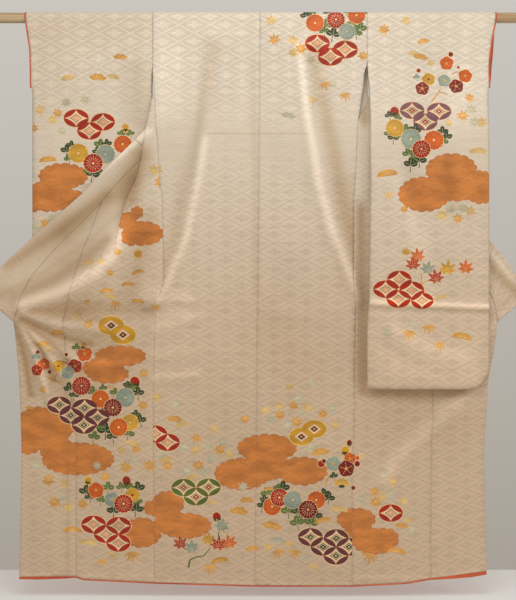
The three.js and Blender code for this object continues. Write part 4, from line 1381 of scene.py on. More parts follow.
RIGHT_SLEEVE_DYES = [
    ("cloud", 556, -453, 72, 46), ("cloud", 477, -522, 72, 48), ("cloud", 640, -502, 46, 46),
    ("cloud", 568, -502, 70, 38), ("star", 367, -39, 19, "gold"),
    ("star", 431, -13, 17, "pale_gold"), ("fan", 481, -73, 19, "gold"),
    ("fan", 473, -119, 23, "gold"), ("fan", 451, -108, 17, "pale_gold"),
    ("star", 503, -137, 14, "pale_gold"), ("star", 611, -242, 16, "gold"),
    ("star", 590, -296, 19, "gold"), ("star", 614, -278, 19, "mist"),
    ("star", 644, -315, 19, "pale_gold"), ("star", 550, -316, 14, "pale_gold"),
    ("star", 622, -316, 17, "mist"), ("arch", 371, -464, 30, "gold"),
    ("arch", 633, -399, 26, "pale_gold"),
    ("branch", 502, -252, [(0, 0), (13, 16), (22, 28), (37, 26), (48, 22)], 2.0, "gold"),
    ("branch", 524, -224, [(0, 0), (6, 15)], 1.5, "gold"),
    ("branch", 563, -170, [(0, 0), (18, 8), (32, 3)], 1.5, "gold"),
    ("plum", 549, -137, 20, "orange"), ("dot", 561, -111, 7, "wine"),
    ("plum", 602, -175, 20, "orange"), ("plum", 495, -185, 19, "yellow"),
    ("plum", 541, -189, 19, "teal"), ("plum", 476, -213, 20, "wine"),
    ("plum", 575, -206, 21, "wine"), ("dot", 467, -159, 6, "red"), ("dot", 583, -149, 4, "red"),
    ("leaves", 461, -180, 10, "teal"), ("shippo", 445, -279, 35, "mauve"),
    ("shippo", 523, -281, 35, "mauve"), ("shippo", 482, -313, 35, "mauve"),
    ("bud", 394, -285, 17, "red"), ("leaves", 379, -296, 13, "dark_leaf"),
    ("leaves", 403, -303, 12, "leaf"), ("leaves", 377, -349, 14, "leaf"),
    ("leaves", 389, -362, 16, "dark_leaf"), ("leaves", 402, -355, 12, "leaf"),
    ("leaves", 429, -339, 17, "leaf"), ("leaves", 452, -339, 17, "dark_leaf"),
    ("leaves", 532, -344, 16, "dark_leaf"), ("leaves", 543, -359, 16, "dark_leaf"),
    ("leaves", 534, -372, 13, "leaf"), ("leaves", 433, -407, 17, "leaf"),
    ("leaves", 465, -427, 19, "dark_leaf"), ("leaves", 439, -438, 19, "dark_leaf"),
    ("leaves", 454, -415, 14, "leaf"), ("mum", 394, -331, 26, "yellow"),
    ("mum", 440, -363, 29, "teal"), ("mum", 506, -366, 28, "orange"), ("mum", 470, -392, 26, "red"),
    ("bamboo", 376, -527, 20, "pale_gold"), ("star", 420, -566, 14, "gold"),
    ("star", 529, -583, 19, "pale_gold"), ("star", 574, -593, 17, "gold"),
    ("star", 610, -571, 19, "pale_gold"), ("star", 589, -562, 17, "mist"),
    ("star", 551, -565, 17, "mist"),
    ("branch", 477, -803, [(0, 0), (-9, 23), (-7, 46), (-11, 60)], 2.0, "gold"),
    ("branch", 468, -780, [(0, 0), (20, 11), (46, 23)], 1.3, "gold"),
    ("maple", 425, -690, 14, "yellow"), ("maple", 458, -703, 22, "orange"),
    ("maple", 445, -727, 22, "red"), ("maple", 487, -740, 23, "teal"),
    ("maple", 512, -765, 24, "red"), ("maple", 544, -740, 24, "yellow"),
    ("maple", 596, -737, 23, "orange"), ("shippo", 406, -767, 35, "red"),
    ("shippo", 366, -795, 35, "red"), ("shippo", 442, -798, 35, "red"),
    ("shippo", 403, -823, 35, "red"), ("shippo", 471, -828, 32, "red"),
    ("arch", 524, -819, 19, "pale_gold"), ("bamboo", 434, -926, 25, "gold"),
    ("bamboo", 491, -909, 25, "gold"), ("bamboo", 522, -958, 22, "gold"),
    ("arch", 586, -932, 29, "gold"), ("star", 445, -895, 17, "mist"),
    ("star", 373, -921, 17, "mist"),
]
SHOULDER_DYES = [
    ("star", 38, -13, 19, "pale_gold"), ("star", 48, -68, 19, "gold"),
    ("star", 101, -71, 19, "pale_gold"), ("star", 125, -97, 20, "gold"),
    ("star", 102, -108, 17, "pale_gold"), ("star", 306, -116, 17, "gold"),
    ("leaves", 141, 1, 17, "dark_leaf"), ("leaves", 157, 12, 13, "leaf"),
    ("leaves", 206, 12, 16, "dark_leaf"), ("leaves", 201, -29, 19, "leaf"),
    ("leaves", 218, -54, 20, "dark_leaf"), ("leaves", 192, -45, 14, "leaf"),
    ("leaves", 297, -37, 19, "leaf"), ("leaves", 287, -52, 16, "leaf"),
    ("leaves", 311, 10, 14, "dark_leaf"), ("leaves", 259, 13, 13, "leaf"),
    ("leaves", 273, -23, 14, "leaf"), ("mum", 166, -19, 26, "orange"), ("mum", 227, -9, 26, "red"),
    ("mum", 287, 4, 26, "orange"), ("mum", 259, -44, 24, "teal"), ("shippo", 173, -79, 36, "red"),
    ("shippo", 254, -97, 36, "red"), ("shippo", 211, -118, 36, "red"),
    ("bamboo", 197, -202, 23, "gold"), ("star", 218, -199, 14, "mist"),
    ("bamboo", 160, -246, 20, "pale_gold"), ("bamboo", 253, -235, 23, "gold"),
    ("fan", 88, -292, 23, "mist"), ("star", 154, -125, 14, "mist"),
    ("star", -293, -450, 20, "pale_gold"), ("star", -308, -485, 20, "gold"),
    ("shippo", -379, -520, 35, "green"), ("bamboo", -328, -533, 16, "pale_gold"),
]
LOWER_DYES = [
    ("cloud", -351, -572, 16, 16), ("cloud", -380, -596, 28, 23), ("cloud", -335, -633, 58, 33),
    ("cloud", -368, -646, 26, 20), ("dot", -348, -693, 12, "gold"),
    ("star", -407, -687, 14, "gold"), ("arch", -348, -746, 19, "gold"),
    ("star", -429, -748, 13, "gold"), ("arch", -378, -781, 19, "gold"),
    ("arch", -440, -800, 20, "gold"), ("fan", -426, -817, 20, "pale_gold"),
    ("bamboo", -497, -832, 14, "gold"), ("arch", -348, -830, 19, "gold"),
    ("bamboo", -415, -840, 22, "gold"), ("bamboo", -296, -849, 19, "gold"),
    ("star", -525, -871, 16, "pale_gold"), ("star", -491, -896, 17, "gold"),
    ("star", -490, -717, 16, "pale_gold"), ("star", -457, -714, 13, "pale_gold"),
    ("gold_shippo", -426, -900, 37, "yellow"), ("gold_shippo", -392, -927, 37, "yellow"),
    ("fan", -583, -922, 22, "gold"), ("fan", -624, -954, 20, "gold"),
    ("star", -606, -968, 14, "pale_gold"), ("cloud", -399, -989, 72, 28),
    ("cloud", -455, -1023, 52, 26), ("cloud", -435, -1040, 58, 26),
    ("branch", -609, -1052, [(0, 0), (18, -6), (36, -14), (50, -10)], 1.8, "gold"),
    ("branch", -591, -1058, [(0, 0), (9, 20)], 1.4, "gold"),
    ("branch", -568, -1003, [(0, 0), (12, -6), (23, -14)], 1.4, "wine"),
    ("dot", -639, -977, 5, "wine"), ("dot", -555, -984, 5, "wine"), ("dot", -606, -1035, 5, "wine"),
    ("leaves", -644, -994, 12, "teal"), ("leaves", -527, -967, 13, "leaf"),
    ("plum", -503, -982, 22, "orange"), ("bud", -507, -961, 12, "gold"),
    ("plum", -621, -1012, 17, "orange"), ("plum", -641, -1029, 17, "red"),
    ("plum", -578, -1017, 18, "yellow"), ("plum", -531, -1018, 21, "red"),
    ("plum", -551, -1037, 19, "teal"), ("star", -332, -1040, 16, "gold"),
    ("bud", -357, -1067, 19, "red"), ("arch", -423, -1081, 17, "pale_gold"),
    ("leaves", -545, -1084, 17, "dark_leaf"), ("leaves", -533, -1104, 14, "dark_leaf"),
    ("leaves", -481, -1096, 17, "leaf"), ("leaves", -449, -1084, 12, "leaf"),
    ("leaves", -417, -1098, 14, "leaf"), ("leaves", -369, -1084, 17, "leaf"),
    ("leaves", -348, -1098, 17, "dark_leaf"), ("leaves", -380, -1075, 12, "dark_leaf"),
    ("leaves", -446, -1151, 14, "dark_leaf"), ("leaves", -476, -1226, 17, "leaf"),
    ("leaves", -443, -1207, 23, "dark_leaf"), ("leaves", -421, -1224, 17, "dark_leaf"),
    ("leaves", -376, -1216, 17, "leaf"), ("leaves", -341, -1178, 17, "dark_leaf"),
    ("leaves", -355, -1161, 14, "dark_leaf"), ("leaves", -458, -1197, 14, "leaf"),
    ("mum", -512, -1075, 27, "red"), ("mum", -457, -1113, 26, "orange"),
    ("mum", -385, -1109, 28, "teal"), ("mum", -421, -1138, 26, "wine"),
    ("mum", -371, -1181, 24, "yellow"), ("mum", -404, -1195, 26, "orange"),
    ("star", -334, -1132, 17, "gold"), ("star", -293, -1108, 17, "pale_gold"),
    ("star", -623, -1087, 13, "gold"), ("cloud", -638, -1182, 58, 44),
    ("cloud", -585, -1194, 52, 35), ("cloud", -667, -1240, 38, 32), ("cloud", -588, -1252, 46, 38),
    ("cloud", -522, -1287, 102, 45), ("fan", -661, -1139, 14, "gold"),
    ("shippo", -576, -1130, 34, "purple"), ("shippo", -543, -1161, 33, "purple"),
    ("shippo", -503, -1139, 36, "purple"), ("shippo", -465, -1167, 34, "purple"),
    ("shippo", -505, -1189, 35, "purple"), ("fan", -242, -1172, 23, "gold"),
    ("fan", -219, -1188, 22, "pale_gold"), ("star", -178, -1227, 17, "gold"),
    ("star", -128, -1201, 16, "pale_gold"), ("star", -37, -1172, 16, "gold"),
    ("star", -111, -1261, 19, "gold"), ("star", -83, -1275, 17, "pale_gold"),
    ("star", -173, -1307, 19, "gold"), ("star", -136, -1287, 17, "mist"),
    ("star", -180, -1262, 17, "pale_gold"), ("star", -159, -1324, 17, "mist"),
    ("fan", -190, -1340, 20, "pale_gold"), ("fan", -32, -1407, 22, "gold"),
    ("fan", -55, -1439, 29, "gold"), ("fan", -133, -1414, 17, "pale_gold"),
    ("star", -262, -1307, 17, "gold"), ("star", -314, -1307, 20, "gold"),
    ("star", -352, -1258, 16, "gold"), ("star", -397, -1263, 16, "pale_gold"),
    ("star", -383, -1311, 20, "gold"), ("star", -443, -1339, 17, "gold"),
    ("star", -607, -1349, 20, "gold"), ("star", -562, -1358, 17, "pale_gold"),
    ("star", -590, -1413, 20, "gold"), ("star", -550, -1427, 19, "pale_gold"),
    ("star", -509, -1418, 17, "gold"), ("star", -362, -1290, 17, "mist"),
    ("star", -214, -1255, 17, "mist"), ("star", -104, -1238, 17, "mist"),
    ("star", -643, -1304, 17, "mist"), ("star", -281, -1275, 20, "mist"),
    ("arch", -365, -1243, 23, "pale_gold"), ("arch", -267, -1290, 23, "pale_gold"),
    ("star", -238, -1130, 17, "mist"), ("star", -145, -1252, 14, "mist"),
    ("star", -209, -1322, 17, "mist"), ("star", -467, -1307, 14, "mist"),
    ("star", -568, -1397, 17, "mist"), ("star", -43, -1368, 17, "mist"),
    ("bud", -493, -1352, 14, "yellow"), ("bud", -381, -1353, 16, "red"),
    ("leaves", -500, -1385, 19, "dark_leaf"), ("leaves", -435, -1373, 17, "leaf"),
    ("leaves", -347, -1375, 19, "dark_leaf"), ("leaves", -371, -1374, 14, "leaf"),
    ("leaves", -397, -1371, 14, "leaf"), ("leaves", -419, -1440, 19, "dark_leaf"),
    ("leaves", -354, -1435, 20, "dark_leaf"), ("leaves", -348, -1414, 14, "leaf"),
    ("leaves", -455, -1409, 14, "leaf"), ("leaves", -487, -1400, 14, "dark_leaf"),
    ("plum", -470, -1378, 23, "orange"), ("plum", -423, -1405, 22, "teal"),
    ("plum", -364, -1392, 21, "yellow"), ("mum", -390, -1417, 27, "red"),
    ("shippo", -477, -1477, 36, "red"), ("shippo", -404, -1481, 36, "red"),
    ("shippo", -441, -1506, 35, "red"), ("shippo", -405, -1531, 35, "red"),
    ("cloud", -339, -1501, 57, 41), ("cloud", -290, -1429, 41, 23), ("cloud", -261, -1417, 44, 35),
    ("cloud", -212, -1481, 75, 35), ("cloud", -261, -1466, 35, 29),
    ("shippo", -216, -1370, 35, "green"), ("shippo", -143, -1369, 35, "green"),
    ("shippo", -180, -1397, 35, "green"), ("arch", -538, -1495, 28, "gold"),
    ("arch", -493, -1530, 26, "pale_gold"), ("arch", -111, -1582, 26, "gold"),
    ("bamboo", -140, -1606, 26, "gold"), ("fan", -17, -1548, 20, "gold"),
    ("bamboo", -364, -1571, 29, "gold"), ("bamboo", -423, -1568, 20, "pale_gold"),
    ("bamboo", -451, -1587, 20, "gold"),
    ("branch", -202, -1602, [(0, 0), (5, 23), (22, 30), (45, 34), (64, 57)], 2.4, "leaf"),
    ("branch", -116, -1522, [(0, 0), (2, 20), (6, 32)], 1.5, "leaf"),
    ("bud", -119, -1457, 16, "red"), ("maple", -106, -1483, 23, "teal"),
    ("maple", -224, -1536, 23, "red"), ("maple", -192, -1548, 23, "teal"),
    ("maple", -145, -1523, 21, "yellow"), ("maple", -83, -1533, 24, "orange"),
    ("maple", -116, -1538, 24, "red"), ("cloud", 26, -1255, 84, 38), ("cloud", -46, -1330, 78, 44),
    ("cloud", 23, -1307, 64, 41), ("cloud", 128, -1322, 71, 39),
    ("star", 91, -1077, 14, "pale_gold"), ("star", 155, -1067, 16, "mist"),
    ("star", 116, -1110, 16, "mist"), ("star", 103, -1133, 16, "gold"),
    ("star", 64, -1160, 17, "gold"), ("star", 62, -1134, 16, "pale_gold"),
    ("star", 145, -1138, 17, "pale_gold"), ("star", 188, -1158, 17, "gold"),
    ("star", 112, -1180, 19, "gold"), ("star", 21, -1146, 16, "pale_gold"),
    ("star", 224, -1189, 17, "pale_gold"), ("star", 84, -1188, 17, "mist"),
    ("star", 214, -1142, 17, "mist"), ("star", 35, -1174, 17, "mist"),
    ("star", 125, -1151, 14, "mist"), ("star", 154, -1252, 20, "mist"),
    ("gold_shippo", 163, -1200, 35, "yellow"), ("gold_shippo", 126, -1222, 35, "yellow"),
    ("fan", 181, -1268, 28, "gold"),
    ("branch", 195, -1365, [(0, 0), (5, 17), (17, 32), (28, 43)], 2.2, "gold"),
    ("branch", 264, -1249, [(0, 0), (-3, -14), (-9, -29)], 1.4, "leaf"),
    ("bud", 265, -1242, 10, "wine"), ("bud", 253, -1266, 16, "yellow"),
    ("plum", 267, -1286, 17, "orange"), ("plum", 219, -1301, 22, "teal"),
    ("plum", 256, -1315, 24, "wine"), ("dot", 183, -1301, 10, "red"),
    ("dot", 191, -1293, 6, "wine"), ("dot", 288, -1301, 8, "wine"),
    ("dot", 288, -1284, 6, "orange"), ("half_mum", 243, -1366, 23, "yellow"),
    ("leaves", 220, -1339, 12, "dark_leaf"), ("dot", 276, -1371, 6, "wine"),
    ("dot", 300, -1278, 6, "pale_gold"), ("leaves", 72, -1373, 19, "dark_leaf"),
    ("leaves", 58, -1375, 14, "leaf"), ("leaves", 26, -1389, 17, "leaf"),
    ("leaves", 13, -1426, 16, "dark_leaf"), ("leaves", 19, -1406, 13, "dark_leaf"),
    ("leaves", 87, -1440, 20, "leaf"), ("leaves", 114, -1443, 19, "dark_leaf"),
    ("leaves", 193, -1392, 17, "dark_leaf"), ("leaves", 205, -1403, 17, "dark_leaf"),
    ("leaves", 167, -1455, 19, "dark_leaf"), ("leaves", 114, -1474, 20, "leaf"),
    ("leaves", 153, -1474, 20, "leaf"), ("leaves", 133, -1455, 14, "leaf"),
    ("mum", 41, -1425, 26, "orange"), ("mum", 62, -1399, 26, "red"),
    ("mum", 101, -1406, 26, "teal"), ("mum", 169, -1406, 26, "orange"),
    ("mum", 145, -1433, 27, "wine"), ("fan", 31, -1375, 16, "gold"), ("fan", 41, -1482, 30, "gold"),
    ("arch", 188, -1466, 25, "gold"), ("arch", 234, -1434, 26, "pale_gold"),
    ("fan", 58, -1524, 26, "mist"), ("shippo", 152, -1513, 36, "purple"),
    ("shippo", 227, -1517, 36, "purple"), ("shippo", 189, -1542, 36, "purple"),
    ("shippo", 226, -1568, 36, "purple"), ("bamboo", 29, -1545, 23, "pale_gold"),
    ("bamboo", 60, -1562, 26, "gold"), ("bamboo", 107, -1562, 25, "gold"),
    ("bamboo", 91, -1536, 23, "pale_gold"), ("bamboo", 162, -1600, 20, "pale_gold"),
    ("bamboo", 324, -1574, 29, "gold"), ("star", 130, -1574, 14, "mist"),
    ("cloud", 285, -1462, 54, 30), ("cloud", 339, -1526, 64, 35), ("cloud", 290, -1501, 41, 38),
    ("cloud", 368, -1516, 38, 26), ("star", 338, -1382, 17, "gold"),
    ("star", 341, -1413, 19, "gold"), ("star", 359, -1397, 17, "pale_gold"),
    ("star", 393, -1353, 17, "pale_gold"), ("star", 422, -1411, 17, "pale_gold"),
    ("star", 448, -1494, 16, "mist"), ("star", 365, -1324, 14, "mist"),
    ("star", 387, -1388, 17, "mist"), ("star", 301, -1404, 17, "mist"),
    ("shippo", 385, -1444, 35, "red"), ("fan", 417, -1481, 20, "gold"),
    ("fan", 438, -1466, 17, "pale_gold"), ("arch", 403, -1555, 26, "gold"),
]
BACK_DYES = [
    ("shippo", -262, -1239, 35, "red"), ("shippo", -298, -1215, 35, "red"),
    ("shippo", 264, -1542, 36, "purple"),
]


# ---- dyed motifs -----------------------------------------------------------------------
DYES = {
    "red": tint(172, 34, 4), "wine": tint(128, 18, 4), "orange": tint(212, 92, 14),
    "yellow": tint(212, 158, 34), "gold": tint(222, 162, 72), "pale_gold": tint(226, 190, 122),
    "mist": tint(198, 194, 166), "teal": tint(146, 162, 146), "purple": tint(104, 50, 52),
    "mauve": tint(126, 80, 88), "green": tint(92, 114, 42), "leaf": tint(98, 118, 44),
    "dark_leaf": tint(50, 66, 18), "cloud": tint(210, 130, 60), "cloud_rim": tint(184, 88, 28),
    "line": tint(246, 206, 150), "cream": tint(242, 216, 170), "rose": tint(232, 158, 120),
    "shade": tint(150, 62, 24), "cloud_line": tint(220, 142, 72),
}
SHIPPO_HEIGHT = 0.72
# Dye of the lines on a flower whose own dye is light; the others have the pale line.
PALE = {"orange": "cloud_line", "yellow": "pale_gold", "teal": "mist"}
CLOUD_BUMP = 23.0
# Motifs further out than this are laid on the front that shows beside the back panel too.
FRONT_FROM = 230.0
# Sleeve motifs below this are repeated on the left sleeve's covered part.
COVERED_FROM = -640.0


def ring(radius_x, radius_z, count, wave=0.0, lobes=0, power=1.0, turn=0.0):
    """Closed oval whose radius is 1 - wave (1 - |cos(lobes t / 2)|^power) at angle t."""
    t = np.linspace(0, 2 * math.pi, count, endpoint=False) + turn
    size = 1 - wave * (1 - np.abs(np.cos(lobes * (t - turn) / 2)) ** power)
    return np.stack([radius_x * size * np.cos(t), radius_z * size * np.sin(t)], -1)


def blade(length, width, angle, start=0.0):
    """Pointed leaf from the motif's middle: half width is width sin(pi t) at share t."""
    t = np.linspace(0, 1, 7)
    half = width * np.sin(math.pi * t ** 0.8)
    along = start + (length - start) * t
    line = np.concatenate([np.stack([along, -half], -1), np.stack([along, half], -1)[-2:0:-1]])
    return turned(line, angle)


def turned(points, angle):
    """The points turned by an angle about the motif's middle."""
    c, s = math.cos(angle), math.sin(angle)
    return points @ np.array([[c, s], [-s, c]])


def stroke(line, width):
    """Strip of even width along a line of points, tapered at its end."""
    line = np.asarray(line, float)
    along = np.gradient(line, axis=0)
    along = along / np.linalg.norm(along, axis=-1, keepdims=True)
    side = np.stack([-along[:, 1], along[:, 0]], -1)
    half = np.linspace(width, width * 0.45, len(line))[:, None]
    return np.concatenate([line - side * half, (line + side * half)[::-1]])


def mum(r, dye):
    """Chrysanthemum: scalloped edge, dyed petals parted by thin pale lines, a pale eye."""
    pale = PALE.get(dye, "line")
    shapes = [(ring(r * 1.07, r * 1.05, 64, 0.08, 16), "line"),
              (ring(r * 1.02, r, 64, 0.09, 16), dye)]
    for k in range(16):
        start = 0.2 if k % 2 else 0.34
        shapes.append((blade(r * 0.88, r * 0.022, math.pi * (2 * k + 1) / 16, r * start), pale))
    shapes.append((ring(r * 0.13, r * 0.13, 10), "line"))
    return shapes


def half_mum(r, dye):
    """A chrysanthemum half open: the upper half of its petals."""
    t = np.linspace(0.1, math.pi - 0.1, 33)
    size = 1 - 0.16 * (1 - np.abs(np.cos(7 * t)))
    fan = np.stack([r * size * np.cos(t), r * size * np.sin(t)], -1)
    shapes = [(fan * 1.08 + [0, -r * 0.04], "line"), (fan, dye)]
    for k in range(6):
        angle = math.pi * (k + 1) / 7
        shapes.append((blade(r * 0.85, r * 0.03, angle, r * 0.2), "line"))
    shapes.append((ring(r * 0.4, r * 0.2, 14) + [0, -r * 0.02], "dark_leaf"))
    return shapes


def plum(r, dye):
    """Plum flower: five round petals, a gold eye and short stamens."""
    turn = math.pi / 2
    pale = PALE.get(dye, "line")
    shapes = [(ring(r * 1.05, r * 1.05, 45, 0.17, 5, 0.6, turn), "line"),
              (ring(r, r, 45, 0.17, 5, 0.6, turn), dye)]
    for k in range(5):
        angle = turn + 2 * math.pi * k / 5
        shapes.append((blade(r * 0.6, r * 0.02, angle, r * 0.15), pale))
        tip = turned(np.array([[r * 0.66, 0.0]]), angle)
        shapes.append((ring(r * 0.06, r * 0.06, 6) + tip, pale))
    shapes.append((ring(r * 0.2, r * 0.2, 10), "gold" if dye != "yellow" else "red"))
    return shapes


def maple(r, dye):
    """Maple leaf: seven pointed lobes and pale veins."""
    r = r * 1.18
    angles = np.radians([-48, 0, 44, 90, 136, 180, 228])
    reach = np.array([0.66, 0.9, 1.02, 1.08, 1.02, 0.9, 0.66])
    points = [[0.05 * r, -0.3 * r]]
    for k, (angle, size) in enumerate(zip(angles, reach)):
        for turn, share in ((-0.22, 0.66), (0, 1.0), (0.22, 0.66)):
            points.append([r * size * share * math.cos(angle + turn),
                           r * size * share * math.sin(angle + turn)])
        if k < 6:
            middle = (angle + angles[k + 1]) / 2
            points.append([0.46 * r * math.cos(middle), 0.46 * r * math.sin(middle)])
    points.append([-0.05 * r, -0.3 * r])
    leaf = np.array(points)
    shapes = [(leaf * 1.06, "line"), (leaf, dye)]
    for angle, size in zip(angles, reach):
        shapes.append((blade(r * size * 0.8, r * 0.018, angle), "line"))
    shapes.append((stroke([[0, -r * 0.2], [r * 0.06, -r * 0.6], [r * 0.2, -r * 0.95]],
                          r * 0.05), "pale_gold"))
    return shapes


def star(r, dye):
    """Small leaf with seven points and a short stem."""
    points = []
    for k in range(7):
        angle = math.radians(-60 + 50 * k)
        size = r * (0.86 if k in (0, 6) else 1.05)
        points.append([size * math.cos(angle), size * math.sin(angle)])
        if k < 6:
            middle = angle + math.radians(25)
            points.append([0.52 * r * math.cos(middle), 0.52 * r * math.sin(middle)])
    points.append([-0.06 * r, -0.4 * r])
    points.append([-0.02 * r, -1.0 * r])
    points.append([0.06 * r, -1.0 * r])
    points.append([0.06 * r, -0.4 * r])
    shapes = [(np.array(points), dye)]
    for angle in (-8, 40, 90, 140, 188):
        shapes.append((blade(r * 0.6, r * 0.035, math.radians(angle)), "line"))
    return shapes


def concave(radius_x, radius_z, bend=0.62, count=7):
    """Diamond whose sides lie between straight lines (bend 0) and arcs about the corners of
    its box (bend 1)."""
    t = np.linspace(0, math.pi / 2, count)[:-1]
    arc = np.stack([1 - np.sin(t), 1 - np.cos(t)], -1)
    share = 2 * t[:, None] / math.pi
    straight = np.concatenate([1 - share, share], -1)
    quarter = arc * bend + straight * (1 - bend)
    parts = [quarter * [1, 1], quarter[:, ::-1] * [-1, 1], quarter * [-1, -1],
             quarter[:, ::-1] * [1, -1]]
    return np.concatenate(parts) * [radius_x, radius_z]


def shippo(r, dye):
    """Interlocked-ring figure: dyed oval, cream hollow-sided diamond, a small flower."""
    h = r * SHIPPO_HEIGHT
    shapes = [(ring(r, h, 40), dye), (concave(r * 0.98, h * 0.98), "rose"),
              (concave(r * 0.88, h * 0.86), "cream"),
              (concave(r * 0.50, h * 0.50, 0.2), "shade" if dye == "red" else dye),
              (concave(r * 0.40, h * 0.40, 0.2), "cream")]
    eye = {"red": "rose", "purple": "dark_leaf"}.get(dye, "red")
    shapes.append((ring(r * 0.26, h * 0.28, 24, 0.38, 4, 0.7), eye))
    shapes.append((ring(r * 0.08, h * 0.10, 8), "cream"))
    return shapes


def gold_shippo(r, dye):
    """The same figure on a gold oval, with a rose-edged rhombus and a dark flower."""
    h = r * SHIPPO_HEIGHT
    rhombus = np.array([[1, 0], [0, 1], [-1, 0], [0, -1]], float)
    shapes = [(ring(r, h, 40), dye),
              (rhombus * [r * 0.66, h * 0.66], "rose"), (rhombus * [r * 0.55, h * 0.55], "cream")]
    shapes.append((ring(r * 0.30, h * 0.34, 24, 0.34, 4, 0.7), "purple"))
    shapes.append((ring(r * 0.10, h * 0.12, 8), "gold"))
    return shapes


def arch(r, dye):
    """Pine crown: a low half oval, with short needles as pale lines."""
    t = np.linspace(0, math.pi, 15)
    crown = np.stack([r * np.cos(t), r * 0.62 * np.sin(t) ** 0.8], -1)
    shapes = [(crown + [0, -r * 0.2], dye)]
    for k in range(7):
        angle = math.radians(24 + 22 * k)
        needle = blade(r * 0.74, r * 0.028, angle, r * 0.16) * [1, 0.66]
        shapes.append((needle + [0, -r * 0.2], "line"))
    return shapes


def fan(r, dye):
    """Pine tuft or small cloud: a flat oval with four bumps on top."""
    t = np.linspace(0, math.pi, 29)
    size = 1 - 0.2 * (1 - np.abs(np.sin(4 * t)) ** 0.6)
    top = np.stack([r * size * np.cos(t), r * 0.62 * size * np.sin(t)], -1)
    low = np.array([[-r * 0.55, -r * 0.16], [0, -r * 0.06], [r * 0.55, -r * 0.16]])
    shapes = [(np.concatenate([top, low]) + [0, -r * 0.15], dye)]
    for k in range(4):
        angle = math.pi * (k + 0.5) / 4
        line = blade(r * 0.7, r * 0.03, angle, r * 0.14) * [1, 0.66]
        shapes.append((line + [0, -r * 0.15], "line"))
    return shapes


def bamboo(r, dye):
    """Bamboo grass: five blades that hang from one joint, the middle one longest."""
    shapes = []
    for angle, size in ((-160, 0.8), (-125, 0.95), (-90, 1.08), (-55, 0.95), (-20, 0.8)):
        leaf = blade(r * size * 1.15, r * 0.135, math.radians(angle)) + [0, r * 0.45]
        shapes.append((leaf, dye))
        shapes.append((blade(r * size, r * 0.02, math.radians(angle), r * 0.1)
                       + [0, r * 0.45], "line"))
    return shapes


def leaves(r, dye):
    """Three round-lobed leaves on one stem, with a pale vein in each."""
    r = r * 1.12
    shapes = [(stroke([[0, -r * 0.95], [0, -r * 0.4], [0, 0]], r * 0.06), dye)]
    lobes = ((20, 0.52), (90, 0.62), (160, 0.52))
    for angle, reach in lobes:
        tip = turned(np.array([[r * reach, 0.0]]), math.radians(angle))
        shapes.append((turned(ring(r * 0.50, r * 0.38, 18, 0.14, 6), math.radians(angle)) + tip,
                       dye))
    for angle, reach in lobes:
        shapes.append((blade(r * 0.9, r * 0.03, math.radians(angle), r * 0.12), "mist"))
    return shapes


def bud(r, dye):
    """A round bud in three green sepals."""
    shapes = [(ring(r * 0.86, r, 18) + [0, r * 0.12], "line"),
              (ring(r * 0.74, r * 0.88, 18) + [0, r * 0.12], dye)]
    for angle in (-40, -90, -140):
        shapes.append((blade(r * 0.9, r * 0.16, math.radians(angle)), "dark_leaf"))
    return shapes


def dot(r, dye):
    """A plain round dot with a pale edge."""
    return [(ring(r * 1.2, r * 1.2, 14), "line"), (ring(r, r, 14), dye)]


def cloud_edge(half_x, half_z, grow):
    """Oval edge with round bumps about CLOUD_BUMP apart, grown by a few millimetres."""
    length = math.pi * (3 * (half_x + half_z)
                        - math.sqrt((3 * half_x + half_z) * (half_x + 3 * half_z)))
    bumps = max(6, int(round(length / CLOUD_BUMP)))
    t = np.linspace(0, 2 * math.pi, bumps * 7, endpoint=False)
    rise = 5.0 * np.abs(np.sin(bumps * t / 2)) ** 0.6 + grow - 2.5
    line = np.stack([half_x * np.cos(t), half_z * np.sin(t)], -1)
    out = np.stack([np.cos(t) / half_x, np.sin(t) / half_z], -1)
    out = out / np.linalg.norm(out, axis=-1, keepdims=True)
    return line + out * rise[:, None]


MOTIFS = {
    "mum": mum, "half_mum": half_mum, "plum": plum, "maple": maple, "star": star,
    "shippo": shippo, "gold_shippo": gold_shippo, "arch": arch, "fan": fan,
    "bamboo": bamboo, "leaves": leaves, "bud": bud, "dot": dot,
}


def motif_shapes(table, mirror=1.0):
    """Every shape of a table as (centre, points round it, colour name), lowest first."""
    shapes = []
    clouds = [row for row in table if row[0] == "cloud"]
    for grow, colour in ((1.0, "cloud_rim"), (0.0, "cloud")):
        for _, x, z, half_x, half_z in clouds:
            shapes.append(((x, z), cloud_edge(half_x, half_z, grow), colour))
    for _, x, z, half_x, half_z in clouds:
        for share in (0.8, 0.56):
            size = half_x * share, half_z * share
            shapes.append(((x, z), cloud_edge(*size, 0.0), "cloud_line"))
            shapes.append(((x, z), cloud_edge(*size, -1.0), "cloud"))
    for row in table:
        if "shippo" in row[0]:
            shapes.append(((row[1], row[2]), ring(row[3] * 1.06, row[3] * 0.78, 36), "line"))
    for row in table:
        if row[0] == "branch":
            _, x, z, line, width, colour = row
            shapes.append(((x, z), stroke(line, width * 1.2), colour))
    for number, row in enumerate(table):
        if row[0] in MOTIFS:
            kind, x, z, size, colour = row
            tilt = 0.22 * math.sin(2.4 * number) if "shippo" not in kind else 0.0
            for points, name in MOTIFS[kind](size, colour):
                shapes.append(((x, z), turned(points, tilt), name))
    placed = []
    for (x, z), points, name in shapes:
        points = (np.asarray(points, float) + [x, z]) * [mirror, 1.0]
        placed.append(((x * mirror, z), points, DYES[name]))
    return placed


def stitch_row(x_low, x_high, height, colour):
    """A row of running stitches."""
    stitch = np.array([[0, -1], [1, -1], [1, 1], [0, 1]]) * [STITCH_LENGTH, STITCH_HALF]
    return [((x, height), stitch + [x, height], colour)
            for x in np.arange(x_low, x_high, STITCH_PITCH)]


def far_side(points):
    """A motif beyond the rod: its height counted down from the rod's far side."""
    return np.stack([points[:, 0], OVER - points[:, 1]], -1)


